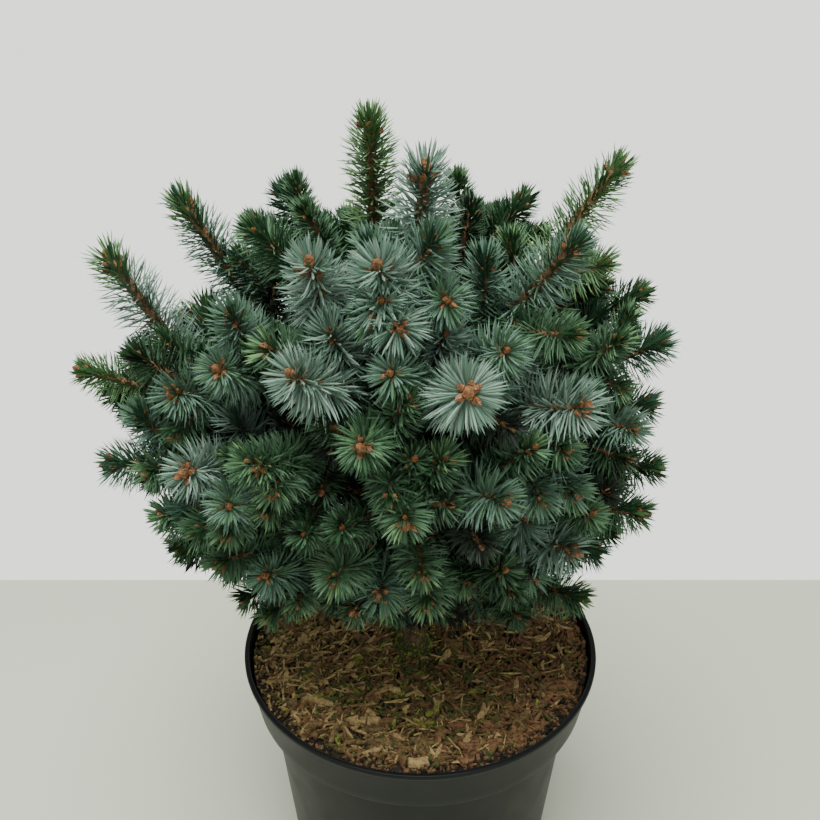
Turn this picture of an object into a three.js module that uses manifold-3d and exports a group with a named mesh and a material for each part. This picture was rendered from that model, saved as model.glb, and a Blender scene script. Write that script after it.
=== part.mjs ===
// A dwarf silver Sitka spruce in a round black nursery pot, in millimetres, +Z up.
// The origin is the middle of the pot's flat underside, and -Y is the side that faces the viewer.
// Each bough leaves the leaning stem and ends where its mass of foliage begins. A mass is one main shoot
// with side shoots, and every shoot is a slim core with some needles standing out of it.
import * as THREE from 'three';
import { mergeVertices } from 'three/addons/utils/BufferGeometryUtils.js';
import Module from 'manifold-3d';

// Driving dimensions of the pot: a three litre nursery pot with a stepped collar under a beaded rim.
const potHeight = 150;
const rimRadius = 95;
const beadHeight = 3;
const collarHeight = 27;
const collarFootRadius = 90;
const bodyTopRadius = 82.5;
const baseRadius = 71.5;
const wall = 1.6;
const floorThickness = 2.2;
const drainHoles = 8;
const drainHoleRadius = 4.5;
const drainCircleRadius = 56;
const roundSteps = 32;

// The bark mulch fills the pot to a little below the rim and is level round the stem.
const mulchDrop = 6;
const mulchCrown = 2;
const levelRadius = 22;
const clearance = 0.3;

// The stem leans to the left and a little forward.
const stemFoot = new THREE.Vector3(-4, -4, potHeight - mulchDrop + mulchCrown + clearance);
const stemTip = new THREE.Vector3(-20, -8, potHeight + 205);
const stemBow = 5;
const flareRadius = 11;
const stemRadius = 7.5;
const stemTipRadius = 2.4;
const flareHeight = 14;

// The crown is a dome about this axis. Heights are above the pot's rim.
const crown = { x: -18, y: -2, sideRadius: 127, frontRadius: 108, middle: 150, halfHeight: 140 };
const leaderTip = new THREE.Vector3(-22, -10, potHeight + 287);

// How steeply a main shoot points: level at the foot of the crown and steep at its top.
const lowestTilt = -8;
const tiltGain = 62;
const tiltStart = 60;
const tiltSpan = 200;
const tiltPower = 1.5;

// Boughs leave the stem between these two heights above its foot, in the order of their tips' heights.
const lowestFork = 14;
const highestFork = 192;
const forkShifts = [0, 3, -3, 6, -6, 9, -9, 12, -12, 15, -15, 18, -18, 22, -22, 26, -26];
const forkSwings = [0, 0.2, -0.2, 0.4, -0.4];
const boughCount = 11;
const boughRadius = 3.4;
const twigRadius = 1.9;
const twigGap = 1;

// A main shoot's brush of needles is this long. Its side shoots leave it between the given places.
const mainBrush = 70;
const sideBrush = 40;
const bandLength = 8.8;
const sideAngle = 50;
const sideBacks = [34, 44, 54];
const sideRolls = [0, 45, 90, 135, 180, 225, 270, 315];
const fingerBack = 54;
const fingerTilt = 52;
const endArm = 0.38;
const fingerEndArm = 0.55;
const sideShootsPerMass = 2;
const tipSpacing = 20;
const sideMargin = 1;
const brushSpacing = 9;

// A shoot's core and its needles, which are fewer and stouter than the real ones.
const coreRadius = 2.4;
const budLength = 5;
const needleReach = 13;
const frontReach = 15.5;
const frontLine = -45;
const leastForward = 4;
const mostForward = 11;
const needleShare = 0.68;
const needleFoot = 2.7;

// The foliage that shows from the front: name, azimuth of the tip about the crown's axis in degrees
// (0 is to the right, 270 towards the viewer), its height above the rim, how far it stands out of the
// dome, and, where the shoot has a direction of its own, its tilt and the azimuth it points to.
const frontTips = [
  ['crest', 292, 275, 0, 78, 291],
  ['left_spire', 177, 253, 6, 61, 180],
  ['left_finger', 187, 228, 13, 61, 180],
  ['right_spire', 1, 268, 38, 56, 0],
  ['front_high_left', 252, 247, 0, 57, 258],
  ['front_high', 270, 246, 0, 51, 240],
  ['front_high_right', 332, 249, 9, 53, 340],
  ['front_dish', 288, 206, 8, 32, 268],
  ['front_left', 251, 210, 0, 45, 225],
  ['left_front_high', 228, 200, -13, 32, 262],
  ['left_front', 211, 179, -16, 25, 250],
  ['left_far', 190, 177, 13, 24, 192],
  ['left_middle', 201, 141, 7],
  ['left_silver', 222, 153, -9, 25, 258],
  ['left_low', 206, 96, -5],
  ['left_front_low', 238, 106, -13, 32, 262],
  ['front_left_middle', 242, 166, -8],
  ['front_middle', 267, 184, 0],
  ['front_low', 270, 100, -12],
  ['front_drop', 276, 150, 0, -6],
  ['front_right_middle', 298, 155, -2, 10, 318],
  ['front_right_low', 298, 98, -18],
  ['right_front', 317, 186, 0],
  ['right_front_low', 321, 110, -3],
  ['right_far', 352, 189, 6, 34, 354],
  ['right_back', 14, 192, 12],
  ['right_far_low', 350, 158, 0],
  ['right_middle', 349, 126, 8],
  ['right_low', 338, 116, 9],
  ['right_foot', 334, 66, 10],
];

// The crown's far side isn't seen, so it is filled by tiers: height, azimuth of the first tip and of the
// last, number of tips, and how far they stand out of the dome.
const backTiers = [
  { label: 'foot', height: 72, from: 25, to: 185, count: 3, proud: -4 },
  { label: 'low', height: 116, from: 16, to: 166, count: 4, proud: 0 },
  { label: 'middle', height: 164, from: 32, to: 150, count: 3, proud: 2 },
  { label: 'high', height: 210, from: 52, to: 130, count: 2, proud: 2 },
  { label: 'top', height: 236, from: 34, to: 130, count: 2, proud: -10 },
];

const bark = new THREE.MeshStandardMaterial({ color: 0x5a4632, roughness: 0.9, metalness: 0 });
const twigBark = new THREE.MeshStandardMaterial({ color: 0x8a5a2c, roughness: 0.85, metalness: 0 });
const needles = new THREE.MeshStandardMaterial({ color: 0x6f9488, roughness: 0.6, metalness: 0 });
const mulchMaterial = new THREE.MeshStandardMaterial({ color: 0x5b4426, roughness: 0.95, metalness: 0 });
const potPlastic = new THREE.MeshStandardMaterial({ color: 0x2b2f2e, roughness: 0.45, metalness: 0 });

const up = new THREE.Vector3(0, 0, 1);
const wasm = await Module();
wasm.setup();

const radians = THREE.MathUtils.degToRad;
const clamp = THREE.MathUtils.clamp;

// A solid for joining and cutting, from a closed geometry. Faces that merging has collapsed are dropped.
function solidOf(geometry) {
  const bare = new THREE.BufferGeometry().setAttribute('position', geometry.getAttribute('position'));
  if (geometry.index) bare.setIndex(geometry.index);
  const merged = mergeVertices(bare, 1e-4);
  const corners = merged.index.array;
  const kept = [];
  for (let i = 0; i < corners.length; i += 3) {
    const [a, b, c] = [corners[i], corners[i + 1], corners[i + 2]];
    if (a !== b && b !== c && c !== a) kept.push(a, b, c);
  }
  const vertProperties = merged.attributes.position.array;
  return new wasm.Manifold(new wasm.Mesh({ numProp: 3, vertProperties, triVerts: new Uint32Array(kept) }));
}

// The geometry of a joined or cut solid.
function geometryOf(solid) {
  const mesh = solid.getMesh();
  const points = new Float32Array(mesh.numVert * 3);
  for (let i = 0; i < mesh.numVert; i++) {
    points.set(mesh.vertProperties.subarray(i * mesh.numProp, i * mesh.numProp + 3), i * 3);
  }
  const geometry = new THREE.BufferGeometry().setAttribute('position', new THREE.BufferAttribute(points, 3));
  geometry.setIndex(new THREE.BufferAttribute(mesh.triVerts, 1));
  geometry.computeVertexNormals();
  return geometry;
}

// A solid from corner points and triangles.
function solidFrom(points, triangles) {
  const flat = new Float32Array(points.flatMap((p) => [p.x, p.y, p.z]));
  const geometry = new THREE.BufferGeometry().setAttribute('position', new THREE.BufferAttribute(flat, 3));
  geometry.setIndex(triangles.flat());
  return solidOf(geometry);
}

// A tapering limb: rings of the given radii square to a line of points, joined and capped. The stem's rings
// are level instead, for a foot that is cut flat.
function limb(line, radii, sides, level) {
  const points = [];
  const triangles = [];
  let across = null;
  line.forEach((centre, i) => {
    const along = line[Math.min(i + 1, line.length - 1)].clone().sub(line[Math.max(i - 1, 0)]).normalize();
    const ahead = level ? up : along;
    across = across ? across.addScaledVector(ahead, -across.dot(ahead)).normalize() : sideways(ahead);
    const other = new THREE.Vector3().crossVectors(ahead, across);
    for (let k = 0; k < sides; k++) {
      const turn = (k / sides) * 2 * Math.PI;
      const out = across.clone().multiplyScalar(Math.cos(turn)).addScaledVector(other, Math.sin(turn));
      points.push(centre.clone().addScaledVector(out, radii[i]));
    }
  });
  for (let i = 0; i + 1 < line.length; i++) {
    for (let k = 0; k < sides; k++) {
      const [a, b] = [i * sides + k, i * sides + ((k + 1) % sides)];
      triangles.push([a, b, b + sides], [a, b + sides, a + sides]);
    }
  }
  const last = (line.length - 1) * sides;
  for (let k = 1; k + 1 < sides; k++) triangles.push([0, k + 1, k], [last, last + k, last + k + 1]);
  return solidFrom(points, triangles);
}

// A level direction square to a line's direction, or any where the line is upright.
function sideways(ahead) {
  const level = new THREE.Vector3().crossVectors(up, ahead);
  return level.length() > 0.05 ? level.normalize() : new THREE.Vector3(1, 0, 0);
}

// A direction from its azimuth and its rise above the horizon, in degrees.
function heading(azimuth, rise) {
  const [a, r] = [radians(azimuth), radians(rise)];
  return new THREE.Vector3(Math.cos(a) * Math.cos(r), Math.sin(a) * Math.cos(r), Math.sin(r));
}

// Points at equal steps of a curve between two of its parameters.
function steps(curve, from, to, count) {
  return Array.from({ length: count + 1 }, (_, i) => curve.getPoint(from + ((to - from) * i) / count));
}

// The nearest points of two straight lines, a to b and c to d, as shares of each, and the gap between them.
function nearest(a, b, c, d) {
  const [u, v, w] = [b.clone().sub(a), d.clone().sub(c), a.clone().sub(c)];
  const [uu, uv, vv, uw, vw] = [u.dot(u), u.dot(v), v.dot(v), u.dot(w), v.dot(w)];
  const det = uu * vv - uv * uv;
  let s = det > 1e-9 ? clamp((uv * vw - vv * uw) / det, 0, 1) : 0;
  const t = clamp((uv * s + vw) / vv, 0, 1);
  s = clamp((uv * t - uw) / uu, 0, 1);
  return { gap: w.addScaledVector(u, s).addScaledVector(v, -t).length(), s, t };
}

// The nearest approach of two lines of points.
function routeGap(one, other) {
  let gap = Infinity;
  for (let i = 0; i + 1 < one.length; i++) {
    for (let j = 0; j + 1 < other.length; j++) {
      gap = Math.min(gap, nearest(one[i], one[i + 1], other[j], other[j + 1]).gap);
    }
  }
  return gap;
}

// The stem's line: a bow from its foot to its tip.
function stemPoint(share) {
  const point = stemFoot.clone().lerp(stemTip, share);
  point.x += stemBow * Math.sin(Math.PI * share);
  return point;
}

// The stem's radius: a root flare that dies out, then an even taper.
function stemRadiusAt(share) {
  const height = share * (stemTip.z - stemFoot.z);
  const flare = (flareRadius - stemRadius) * Math.max(0, 1 - height / flareHeight) ** 2;
  return stemRadius + (stemTipRadius - stemRadius) * share + flare;
}

function stemSolid(extra) {
  const shares = [0, 0.025, 0.07, 0.2, 0.4, 0.6, 0.8, 1];
  return limb(shares.map(stemPoint), shares.map((s) => stemRadiusAt(s) + extra), 10, true);
}

// The dome's radius about the crown's axis at a height above the rim and an azimuth.
function domeRadius(azimuth, height) {
  const { sideRadius, frontRadius, middle, halfHeight } = crown;
  const shrink = Math.sqrt(Math.max(0, 1 - ((height - middle) / halfHeight) ** 2));
  const [c, s] = [Math.cos(radians(azimuth)), Math.sin(radians(azimuth))];
  return (shrink * sideRadius * frontRadius) / Math.hypot(frontRadius * c, sideRadius * s);
}

function tiltAt(height) {
  return lowestTilt + tiltGain * Math.max(0, (height - tiltStart) / tiltSpan) ** tiltPower;
}

// Every main shoot: its name, where its tip is, and which way it points there.
function mainShoots() {
  const rows = frontTips.map(([name, azimuth, height, proud, tilt, facing]) => (
    { name, azimuth, height, proud, tilt, facing, finger: (tilt ?? 0) > fingerTilt }
  ));
  for (const tier of backTiers) {
    for (let i = 0; i < tier.count; i++) {
      const azimuth = tier.from + ((tier.to - tier.from) * i) / (tier.count - 1);
      rows.push({ ...tier, name: `back_${tier.label}_${i + 1}`, azimuth, finger: false });
    }
  }
  for (const row of rows) {
    const reach = domeRadius(row.azimuth, row.height) + row.proud;
    row.tip = new THREE.Vector3(crown.x, crown.y, potHeight + row.height)
      .addScaledVector(heading(row.azimuth, 0), reach);
    row.ahead = heading(row.facing ?? row.azimuth, row.tilt ?? tiltAt(row.height));
    row.reach = row.tip.y < frontLine ? frontReach : needleReach;
  }
  return rows.sort((a, b) => a.tip.z - b.tip.z);
}

// The curve from the stem to a main shoot's tip. It leaves the stem a little steeper than a straight line,
// and the end of a finger is straighter than the others.
function shootCurve(row, fork, swing) {
  const start = stemPoint(fork / (stemTip.z - stemFoot.z));
  const chord = row.tip.clone().sub(start);
  const length = chord.length();
  const lifted = chord.clone().normalize().addScaledVector(up, 0.18);
  const leaving = lifted.addScaledVector(sideways(chord.clone().normalize()), swing).normalize();
  return new THREE.CubicBezierCurve3(
    start,
    start.clone().addScaledVector(leaving, length * 0.35),
    row.tip.clone().addScaledVector(row.ahead, -length * (row.finger ? fingerEndArm : endArm)),
    row.tip
  );
}

// The fork's height where a straight line back from a finger's tip meets the stem.
function straightFork(row) {
  const rise = Math.hypot(row.tip.x - stemTip.x, row.tip.y - stemTip.y) * Math.tan(radians(row.tilt));
  return clamp(row.tip.z - rise - stemFoot.z, lowestFork, highestFork);
}

// A side shoot leaves the main one at an angle and bends back to its direction.
function sideCurve(curve, length, back, roll) {
  const at = 1 - back / length;
  const start = curve.getPoint(at);
  const ahead = curve.getTangent(at);
  const out = sideways(ahead).applyAxisAngle(ahead, roll);
  const angle = radians(sideAngle);
  const leaving = ahead.clone().multiplyScalar(Math.cos(angle)).addScaledVector(out, Math.sin(angle));
  const ending = leaving.clone().addScaledVector(ahead, 0.5).addScaledVector(up, 0.12).normalize();
  const bend = start.clone().addScaledVector(leaving, sideBrush * 0.5);
  return new THREE.QuadraticBezierCurve3(start, bend, bend.clone().addScaledVector(ending, sideBrush * 0.5));
}

// Where a side shoot may leave: how far back from the tip, and its turn round the main shoot.
const sidePlaces = sideBacks.flatMap((back) => sideRolls.map((roll) => [back, radians(roll)]));

// Inside the dome, or hardly out of it.
function insideCrown(point) {
  const height = point.z - potHeight;
  const [x, y] = [point.x - crown.x, point.y - crown.y];
  const azimuth = THREE.MathUtils.radToDeg(Math.atan2(y, x));
  return height > 40 && Math.hypot(x, y) < domeRadius(azimuth, height) + sideMargin;
}

// Where a main shoot may leave the stem: how far above or below its even place, and its swing to the side.
const forkPlaces = forkShifts.flatMap((shift) => forkSwings.map((swing) => [shift, swing]));

// All shoots: main ones first, then the side shoots that find room between them.
function growCrown() {
  const rows = mainShoots();
  const spread = (row) => Math.hypot(row.tip.x - stemTip.x, row.tip.y - stemTip.y);
  const widest = [...rows].sort((a, b) => spread(b) - spread(a)).slice(0, boughCount);
  const top = stemTip.clone().addScaledVector(leaderTip.clone().sub(stemTip).normalize(), clearance * 1.4);
  const curve = new THREE.LineCurve3(top, leaderTip);
  const leader = { name: 'leader', curve, tip: leaderTip, reach: needleReach, onStemTip: true };
  const placed = [{ outerRoute: [top, leaderTip], girth: coreRadius }];
  const fingersFirst = [...rows].sort((a, b) => Number(b.finger) - Number(a.finger));
  for (const row of fingersFirst) {
    row.hasBough = widest.includes(row);
    row.girth = row.hasBough ? boughRadius : coreRadius;
    const spaced = lowestFork + ((highestFork - lowestFork) * rows.indexOf(row)) / (rows.length - 1);
    const even = row.finger ? straightFork(row) : spaced;
    let best = -Infinity;
    for (const [shift, swing] of forkPlaces) {
      const curve = shootCurve(row, clamp(even + shift, lowestFork, highestFork), swing);
      const outside = stemRadiusAt((even + shift) / (stemTip.z - stemFoot.z)) / curve.getLength();
      const route = steps(curve, outside, 1, 14);
      const room = Math.min(...placed.map((other) => routeGap(route, other.outerRoute) - other.girth)) - row.girth;
      if (room > best) {
        [row.curve, row.outerRoute] = [curve, route];
        best = room;
      }
      if (room > twigGap) break;
    }
    placed.push(row);
  }
  rows.push(leader);
  for (const row of rows) {
    row.length = row.curve.getLength();
    row.route = steps(row.curve, 0, 1, 12);
    row.sides = [];
    row.start = 0;
    row.brushStart = Math.max(row.onStemTip ? 0 : 0.12, 1 - mainBrush / row.length);
  }
  for (const row of rows.filter((one) => one.hasBough)) row.start = row.brushStart - 5 / row.length;
  const tips = rows.map((row) => row.tip);
  for (let round = 0; round < sideShootsPerMass; round++) {
    for (const row of rows.filter((one) => one !== leader)) growSide(row, rows, tips);
  }
  return rows;
}

// Gives a mass its next side shoot, where its tip has the most room and it is clear of every other shoot.
// The steep fingers carry theirs only near their feet.
function growSide(row, rows, tips) {
  const others = rows.filter((other) => other !== row);
  let best = null;
  let most = tipSpacing;
  for (const [back, roll] of sidePlaces) {
    if (back > row.length * (1 - row.brushStart) - 4 || (row.finger && back < fingerBack)) continue;
    if (row.sides.some((side) => side.back === back)) continue;
    const curve = sideCurve(row.curve, row.length, back, roll);
    const route = steps(curve, 0, 1, 4);
    const tip = route.at(-1);
    const room = Math.min(...tips.map((other) => other.distanceTo(tip)));
    if (!insideCrown(tip) || room < most) continue;
    const clear = others.every((other) => routeGap(route, other.route) > brushSpacing
      && other.sides.every((side) => routeGap(route, side.route) > brushSpacing));
    if (!clear) continue;
    best = { back, curve, route };
    most = room;
  }
  if (!best) return;
  row.sides.push(best);
  tips.push(best.route.at(-1));
}

// A shoot is a line of four-cornered rings, each turned an eighth against the last, so that the skin
// between two rings is eight triangles. A needle is one of these triangles drawn out to a point.
function shoot(curve, bareRings, from, startRadius, reach, seed) {
  const random = dice(seed);
  const rings = bareRings.map((at) => ({ at, radius: startRadius }));
  const length = curve.getLength();
  const brush = (1 - from) * length - budLength;
  const bands = Math.round(brush / bandLength);
  for (let i = 0; i <= bands; i++) {
    const at = from + (brush * i) / bands / length;
    rings.push({ at, radius: i === 0 ? startRadius : coreRadius * (1 - 0.3 * (i / bands)), needled: i < bands });
  }
  const points = [];
  let across = null;
  rings.forEach((ring, i) => {
    const centre = curve.getPoint(ring.at);
    const ahead = curve.getTangent(ring.at);
    across = across ? across.addScaledVector(ahead, -across.dot(ahead)).normalize() : sideways(ahead);
    for (let k = 0; k < 4; k++) {
      const out = across.clone().applyAxisAngle(ahead, (k + i * 0.5 + i * 0.07) * 0.5 * Math.PI);
      points.push(centre.clone().addScaledVector(out, ring.radius));
    }
    ring.centre = centre;
    ring.ahead = ahead;
  });
  const tip = curve.getPoint(1);
  points.push(tip);
  const facets = [];
  for (let i = 0; i + 1 < rings.length; i++) {
    for (let k = 0; k < 4; k++) {
      const [a, b] = [i * 4 + k, i * 4 + ((k + 1) % 4)];
      facets.push(facetOf(points, [a, b, a + 4], rings[i], reach, random));
      facets.push(facetOf(points, [a + 4, b, b + 4], rings[i], reach, random));
    }
  }
  const last = (rings.length - 1) * 4;
  for (let k = 0; k < 4; k++) facets.push({ corners: [last + k, last + ((k + 1) % 4), points.length - 1] });
  facets.push({ corners: [0, 2, 1] }, { corners: [0, 3, 2] });
  return { points, facets };
}

// One triangle of a shoot's skin, with a needle's root and tip where a needle may grow.
function facetOf(points, corners, ring, reach, random) {
  const grows = random() < needleShare;
  const stretch = 0.9 + 0.2 * random();
  const forward = leastForward + (mostForward - leastForward) * random();
  if (!ring.needled || !grows) return { corners };
  const [a, b, c] = corners.map((i) => points[i]);
  const root = a.clone().add(b).add(c).divideScalar(3);
  const out = root.clone().sub(ring.centre);
  out.addScaledVector(ring.ahead, -out.dot(ring.ahead)).normalize();
  const tip = root.clone().addScaledVector(out, (reach - coreRadius * 0.7) * stretch)
    .addScaledVector(ring.ahead, forward);
  return { corners, root, tip };
}

// The shoot's skin with the needles that are left to it.
function shootSolid({ points, facets }) {
  const corners = [...points];
  const triangles = [];
  for (const { corners: [a, b, c], tip } of facets) {
    if (!tip) {
      triangles.push([a, b, c]);
      continue;
    }
    const p = corners.push(tip) - 1;
    triangles.push([a, b, p], [b, c, p], [c, a, p]);
  }
  return solidFrom(corners, triangles);
}

// A seeded row of numbers from 0 to 1.
function dice(seed) {
  let state = seed >>> 0;
  const roll = () => {
    state = (Math.imul(state, 1664525) + 1013904223) >>> 0;
    return state / 4294967296;
  };
  for (let i = 0; i < 4; i++) roll();
  return roll;
}

// The shoots of one mass, with all their needles.
function bristle(row, index) {
  const bare = row.brushStart > row.start ? [row.start, (row.start + row.brushStart) / 2] : [];
  const main = shoot(row.curve, bare, row.brushStart, twigRadius, row.reach, 100 + index);
  row.shoots = [{ ...main, route: row.route }];
  row.sides.forEach((side, i) => {
    const twig = shoot(side.curve, [0], 0.3, twigRadius * 0.7, row.reach, 1000 + index * 10 + i);
    row.shoots.push({ ...twig, route: side.route });
  });
}

// Takes off the needles that would touch the stem, a bough or another shoot.
function thinNeedles(rows) {
  const stemLine = Array.from({ length: 9 }, (_, i) => stemPoint(i / 8));
  const all = rows.flatMap((row) => row.shoots.map((one) => ({ ...one, row })));
  const kept = [];
  for (const one of all) {
    const limbs = all.filter((other) => other !== one);
    const mine = [];
    for (const facet of one.facets) {
      if (!facet.tip) continue;
      const line = [facet.root, facet.tip];
      const clear = routeGap(line, stemLine) > stemRadius + 1.5
        && limbs.every((other) => routeGap(line, other.route) > (other.row === one.row ? 2.8 : 5.5))
        && kept.every((other) => needleGap(line, other.line) > (other.row === one.row ? 0 : clearance + 0.5));
      if (clear) mine.push({ line, row: one.row });
      else delete facet.tip;
    }
    kept.push(...mine);
  }
}

// The gap between two needles, each a cone from its root to its tip.
function needleGap(one, other) {
  if (one[0].distanceToSquared(other[0]) > 1600) return Infinity;
  const { gap, s, t } = nearest(one[0], one[1], other[0], other[1]);
  return gap - needleFoot * (1 - s) - needleFoot * (1 - t);
}

// One mass: its shoots joined. Where it grows from the stem itself its foot is cut clear of it.
function massSolid(row, stemSpace) {
  const whole = row.shoots.map(shootSolid).reduce((sum, part) => sum.add(part));
  return row.hasBough || row.onStemTip ? whole : whole.subtract(stemSpace);
}

function boughSolid(row, stemSpace) {
  const end = row.start - (1.2 * clearance) / row.length;
  const line = steps(row.curve, 2.5 / row.length, end, 4);
  const radii = line.map((_, i) => boughRadius + ((twigRadius - boughRadius) * i) / 4);
  return limb(line, radii, 6).subtract(stemSpace);
}

// The pot's outside from the middle of its underside to the rim, then its inside back to the middle.
function potSolid() {
  const collarFoot = potHeight - collarHeight;
  const profile = [
    [0, 0], [baseRadius - 1.5, 0], [baseRadius, 1.5], [bodyTopRadius, collarFoot - 2],
    [collarFootRadius - 1.5, collarFoot], [collarFootRadius, collarFoot + 1.5],
    [rimRadius - 0.8, potHeight - beadHeight], [rimRadius, potHeight - beadHeight + 0.8],
    [rimRadius, potHeight - 0.8], [rimRadius - 0.8, potHeight], [rimRadius - 2.2, potHeight],
    [rimRadius - 2.6, potHeight - 0.8], [collarFootRadius - wall, collarFoot + 2.5],
    [bodyTopRadius - wall, collarFoot - 0.5], [baseRadius - wall, floorThickness], [0, floorThickness],
  ].map(([r, z]) => new THREE.Vector2(r, z));
  const hole = new THREE.CylinderGeometry(drainHoleRadius, drainHoleRadius, floorThickness * 3, 8);
  hole.rotateX(Math.PI / 2);
  let pot = solidOf(new THREE.LatheGeometry(profile, roundSteps).rotateX(Math.PI / 2));
  for (let i = 0; i < drainHoles; i++) {
    const turn = ((i + 0.5) / drainHoles) * 2 * Math.PI;
    const [x, y] = [drainCircleRadius * Math.cos(turn), drainCircleRadius * Math.sin(turn)];
    pot = pot.subtract(solidOf(hole.clone().translate(x, y, floorThickness / 2)));
  }
  return pot;
}

// The mulch and root ball fill the pot, a clearance inside its wall.
function mulchSolid() {
  const collarFoot = potHeight - collarHeight;
  const inset = wall + 2 * clearance;
  const surface = potHeight - mulchDrop;
  const share = (surface - collarFoot) / collarHeight;
  const surfaceRadius = collarFootRadius - wall + (rimRadius - 2.6 - collarFootRadius + wall) * share - 2 * clearance;
  const profile = [
    [0, floorThickness + clearance], [baseRadius - inset, floorThickness + clearance],
    [bodyTopRadius - inset, collarFoot - 0.2], [collarFootRadius - inset, collarFoot + 3],
    [surfaceRadius, surface], [surfaceRadius * 0.55, surface + mulchCrown * 0.75],
    [levelRadius, surface + mulchCrown], [0, surface + mulchCrown],
  ].map(([r, z]) => new THREE.Vector2(r, z));
  return solidOf(new THREE.LatheGeometry(profile, roundSteps).rotateX(Math.PI / 2));
}

const plant = new THREE.Group();
function addNode(name, solid, material) {
  const mesh = new THREE.Mesh(geometryOf(solid), material);
  mesh.name = name;
  plant.add(mesh);
}

addNode('pot', potSolid(), potPlastic);
addNode('mulch', mulchSolid(), mulchMaterial);
addNode('trunk', stemSolid(0), bark);
const stemSpace = stemSolid(clearance + 0.05);
const rows = growCrown();
rows.forEach(bristle);
thinNeedles(rows);
for (const row of rows) {
  if (row.hasBough) addNode(`bough_${row.name}`, boughSolid(row, stemSpace), twigBark);
  addNode(`foliage_${row.name}`, massSolid(row, stemSpace), needles);
}

export default plant;
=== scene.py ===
# Dwarf silver Sitka spruce in a black nursery pot. Growth is worked out in millimetres in the part's frame
# (+Z up, -Y towards the viewer, origin under the middle of the pot), and each mesh is put into metres.
import math
import time

import bpy
import numpy as np
from mathutils import Matrix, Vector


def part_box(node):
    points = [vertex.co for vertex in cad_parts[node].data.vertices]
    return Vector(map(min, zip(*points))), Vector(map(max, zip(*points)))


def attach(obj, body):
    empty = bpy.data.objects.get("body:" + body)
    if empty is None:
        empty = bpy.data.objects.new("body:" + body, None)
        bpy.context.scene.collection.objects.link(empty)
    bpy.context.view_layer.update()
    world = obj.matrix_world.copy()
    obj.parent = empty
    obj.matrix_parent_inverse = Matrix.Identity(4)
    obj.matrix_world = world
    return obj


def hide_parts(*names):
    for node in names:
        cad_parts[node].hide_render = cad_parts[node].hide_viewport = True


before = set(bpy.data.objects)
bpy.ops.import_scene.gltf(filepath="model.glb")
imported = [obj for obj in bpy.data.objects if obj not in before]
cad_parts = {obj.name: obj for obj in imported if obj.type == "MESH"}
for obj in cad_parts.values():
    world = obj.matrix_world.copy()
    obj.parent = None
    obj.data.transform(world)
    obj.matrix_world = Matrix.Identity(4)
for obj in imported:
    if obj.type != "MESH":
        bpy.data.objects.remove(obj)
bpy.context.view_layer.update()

started = time.time()
metres = 0.001  # every size below is in millimetres


def report(words):
    print(f"[{time.time() - started:5.1f} s] {words}")


def addObject(name, data):
    thing = bpy.data.objects.new(name, data)
    bpy.context.scene.collection.objects.link(thing)
    return thing


# camera: it looks down at the crown from a little over the top of it
camera = dict(place=(-5.5, -420.2, 520.9), down=28.6, lens=43.9, sensor=36.0)

cameraData = bpy.data.cameras.new("camera")
cameraData.lens = camera["lens"]
cameraData.sensor_width = camera["sensor"]
cameraObject = addObject("camera", cameraData)
cameraObject.location = [v * metres for v in camera["place"]]
cameraObject.rotation_euler = (math.radians(90 - camera["down"]), 0, 0)
bpy.context.scene.camera = cameraObject

# small helpers: vectors, repeatable noise and meshes
up = np.array([0.0, 0.0, 1.0])


def unit(v):
    # a vector, or each row of an array, divided by its own length
    return v / np.linalg.norm(v, axis=-1, keepdims=True)


def smoothStep(x):
    # 3x^2 - 2x^3 between 0 and 1
    x = np.clip(x, 0, 1)
    return x * x * (3 - 2 * x)


def turned(v, axis, angle):
    # the rotation of v about a unit axis: v cos a + (axis x v) sin a + axis (axis . v)(1 - cos a)
    c, s = math.cos(angle), math.sin(angle)
    return v * c + np.cross(axis, v) * s + axis * np.dot(axis, v) * (1 - c)


def sideways(ahead):
    # a level direction square to a line, or +X where the line stands upright
    level = np.cross(up, ahead)
    return unit(level) if np.linalg.norm(level) > 0.05 else np.array([1.0, 0.0, 0.0])


def heading(azimuth, rise):
    # the direction (cos a cos r, sin a cos r, sin r)
    a, r = math.radians(azimuth), math.radians(rise)
    return np.array([math.cos(a) * math.cos(r), math.sin(a) * math.cos(r), math.sin(r)])


def hexColour(code):
    # sRGB hex to linear: below 0.04045 a straight line, above it a power of 2.4
    parts = [int(code[i:i + 2], 16) / 255 for i in (1, 3, 5)]
    return [p / 12.92 if p <= 0.04045 else ((p + 0.055) / 1.055) ** 2.4 for p in parts] + [1.0]


def lattice(i, j, seed):
    # a repeatable number from 0 to 1 for each whole pair i, j: the fraction of a large sine
    return np.mod(np.sin(i * 127.1 + j * 311.7 + seed * 74.7) * 43758.5453, 1.0)


def noise(u, v, seed=0, period=None):
    # value noise: numbers at whole points, blended by smooth steps; it repeats in u after `period`
    iu, iv = np.floor(u), np.floor(v)
    fu, fv = smoothStep(u - iu), smoothStep(v - iv)
    wrap = (lambda k: np.mod(k, period)) if period else (lambda k: k)
    a, b = lattice(wrap(iu), iv, seed), lattice(wrap(iu + 1), iv, seed)
    c, d = lattice(wrap(iu), iv + 1, seed), lattice(wrap(iu + 1), iv + 1, seed)
    return (a * (1 - fu) + b * fu) * (1 - fv) + (c * (1 - fu) + d * fu) * fv


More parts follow.
